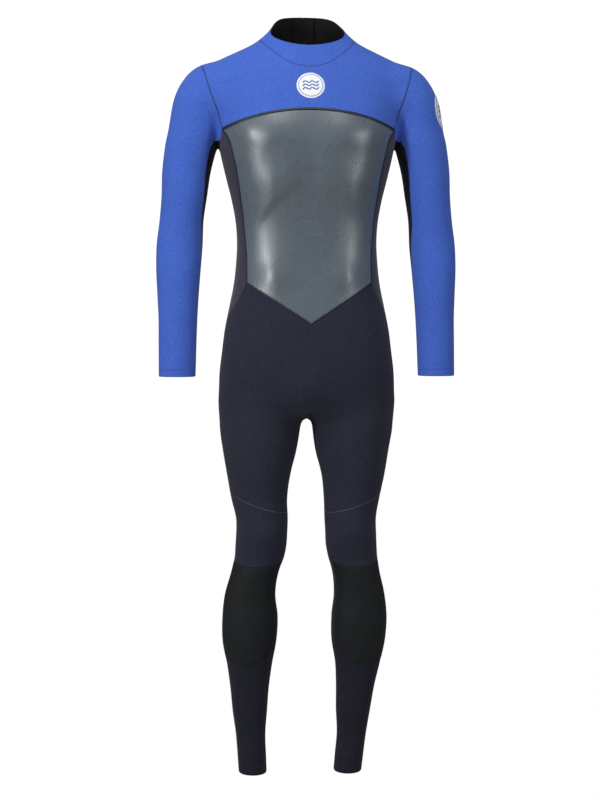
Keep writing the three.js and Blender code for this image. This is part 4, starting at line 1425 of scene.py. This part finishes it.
def pressed_print(name, base, shade):
    """Heat-pressed vinyl print: smooth, a little glossier than the cloth, finely cracked."""
    material, tree, where = new_material(name)
    crack = node(tree, "ShaderNodeTexNoise", {"Scale": 180.0, "Detail": 6.0}, where)
    stops = [(0, shade), (1, base)]
    tone = node(tree, "ShaderNodeValToRGB", {"stops": stops}, {"Fac": crack.outputs["Fac"]})
    rough = node(tree, "ShaderNodeMapRange", {3: 0.4, 4: 0.55}, {0: crack.outputs["Fac"]})
    finish_material(tree, {}, tone.outputs["Color"], rough.outputs[0])
    return material


WHITE_PRINT = pressed_print("white_print", "#FFFFFF", "#EDF1F4")
BLUE_PRINT = pressed_print("blue_print", "#3C63B8", "#2F52A4")
GREY_PRINT = pressed_print("grey_print", "#B9BEC8", "#9CA2AE")


def badge_chunks(centre, right, up, radius, lift=0.7):
    """A disc of print settled on the form, with three waves and a rim line on it."""
    right, up = np.array(right, float), np.array(up, float)
    turn = np.linspace(0, math.tau, 49)
    reach = np.linspace(0.03, 1, 8) * radius
    grid = np.stack(
        [centre + r * (np.cos(turn)[:, None] * right + np.sin(turn)[:, None] * up) for r in reach]
    )
    disc = settle(grid)
    chunks = [shell(disc, "lrt", thickness=0.6, lift=lift, slots=(0, 0))]
    edge = centre + 0.86 * radius * (np.cos(turn)[:, None] * right + np.sin(turn)[:, None] * up)
    chunks.append(ribbon(settle(edge), radius * 0.05, lift + 0.25, 1))
    for row in (-0.26, 0.0, 0.26):
        s = np.linspace(-0.56, 0.56, 40)
        wave = row + 0.1 * np.sin(s * 13.0)
        line = centre + radius * (s[:, None] * right + wave[:, None] * up)
        chunks.append(ribbon(settle(line), radius * 0.12, lift + 0.25, 1))
    return chunks


chest_spot = on_face([0.0], [1352.0], -1)[0]
chunks = badge_chunks(chest_spot, [1, 0, 0], [0, 0.34, 0.94], 27.0)
badge_inks = [WHITE_PRINT, BLUE_PRINT]
sew("chest_badge_print", chunks, badge_inks, "chest_badge", "badge_print", "torso")

arm_spot = arm_ring(1, [9.0], [1313.0])[0]
facing = normals_at(arm_spot[None])[0]
sideways = np.cross([0, 0, 1.0], facing)
sideways /= np.linalg.norm(sideways)
upward = np.cross(facing, sideways)
chunks = badge_chunks(arm_spot, sideways, upward, 36.0)
badge = sew("sleeve_badge_print", chunks, badge_inks, None, "badge_print")
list(spread([173, 5, 1236], [228, 5, 1141]))
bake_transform(badge)

chunks = []
for height, tall in ((102, 20), (62, 36)):
    rows = np.linspace(height + tall / 2, height - tall / 2, 9)
    angles, levels = np.meshgrid(np.linspace(4, 15, 5), rows)
    grid = leg_ring(-1, angles.ravel(), levels.ravel()).reshape(9, 5, 3)
    chunks.append(shell(grid, thickness=0.5, lift=0.6, slots=(0, 0)))
sew("shin_bars_print", chunks, [GREY_PRINT], None, "badge_print", "shin_right")
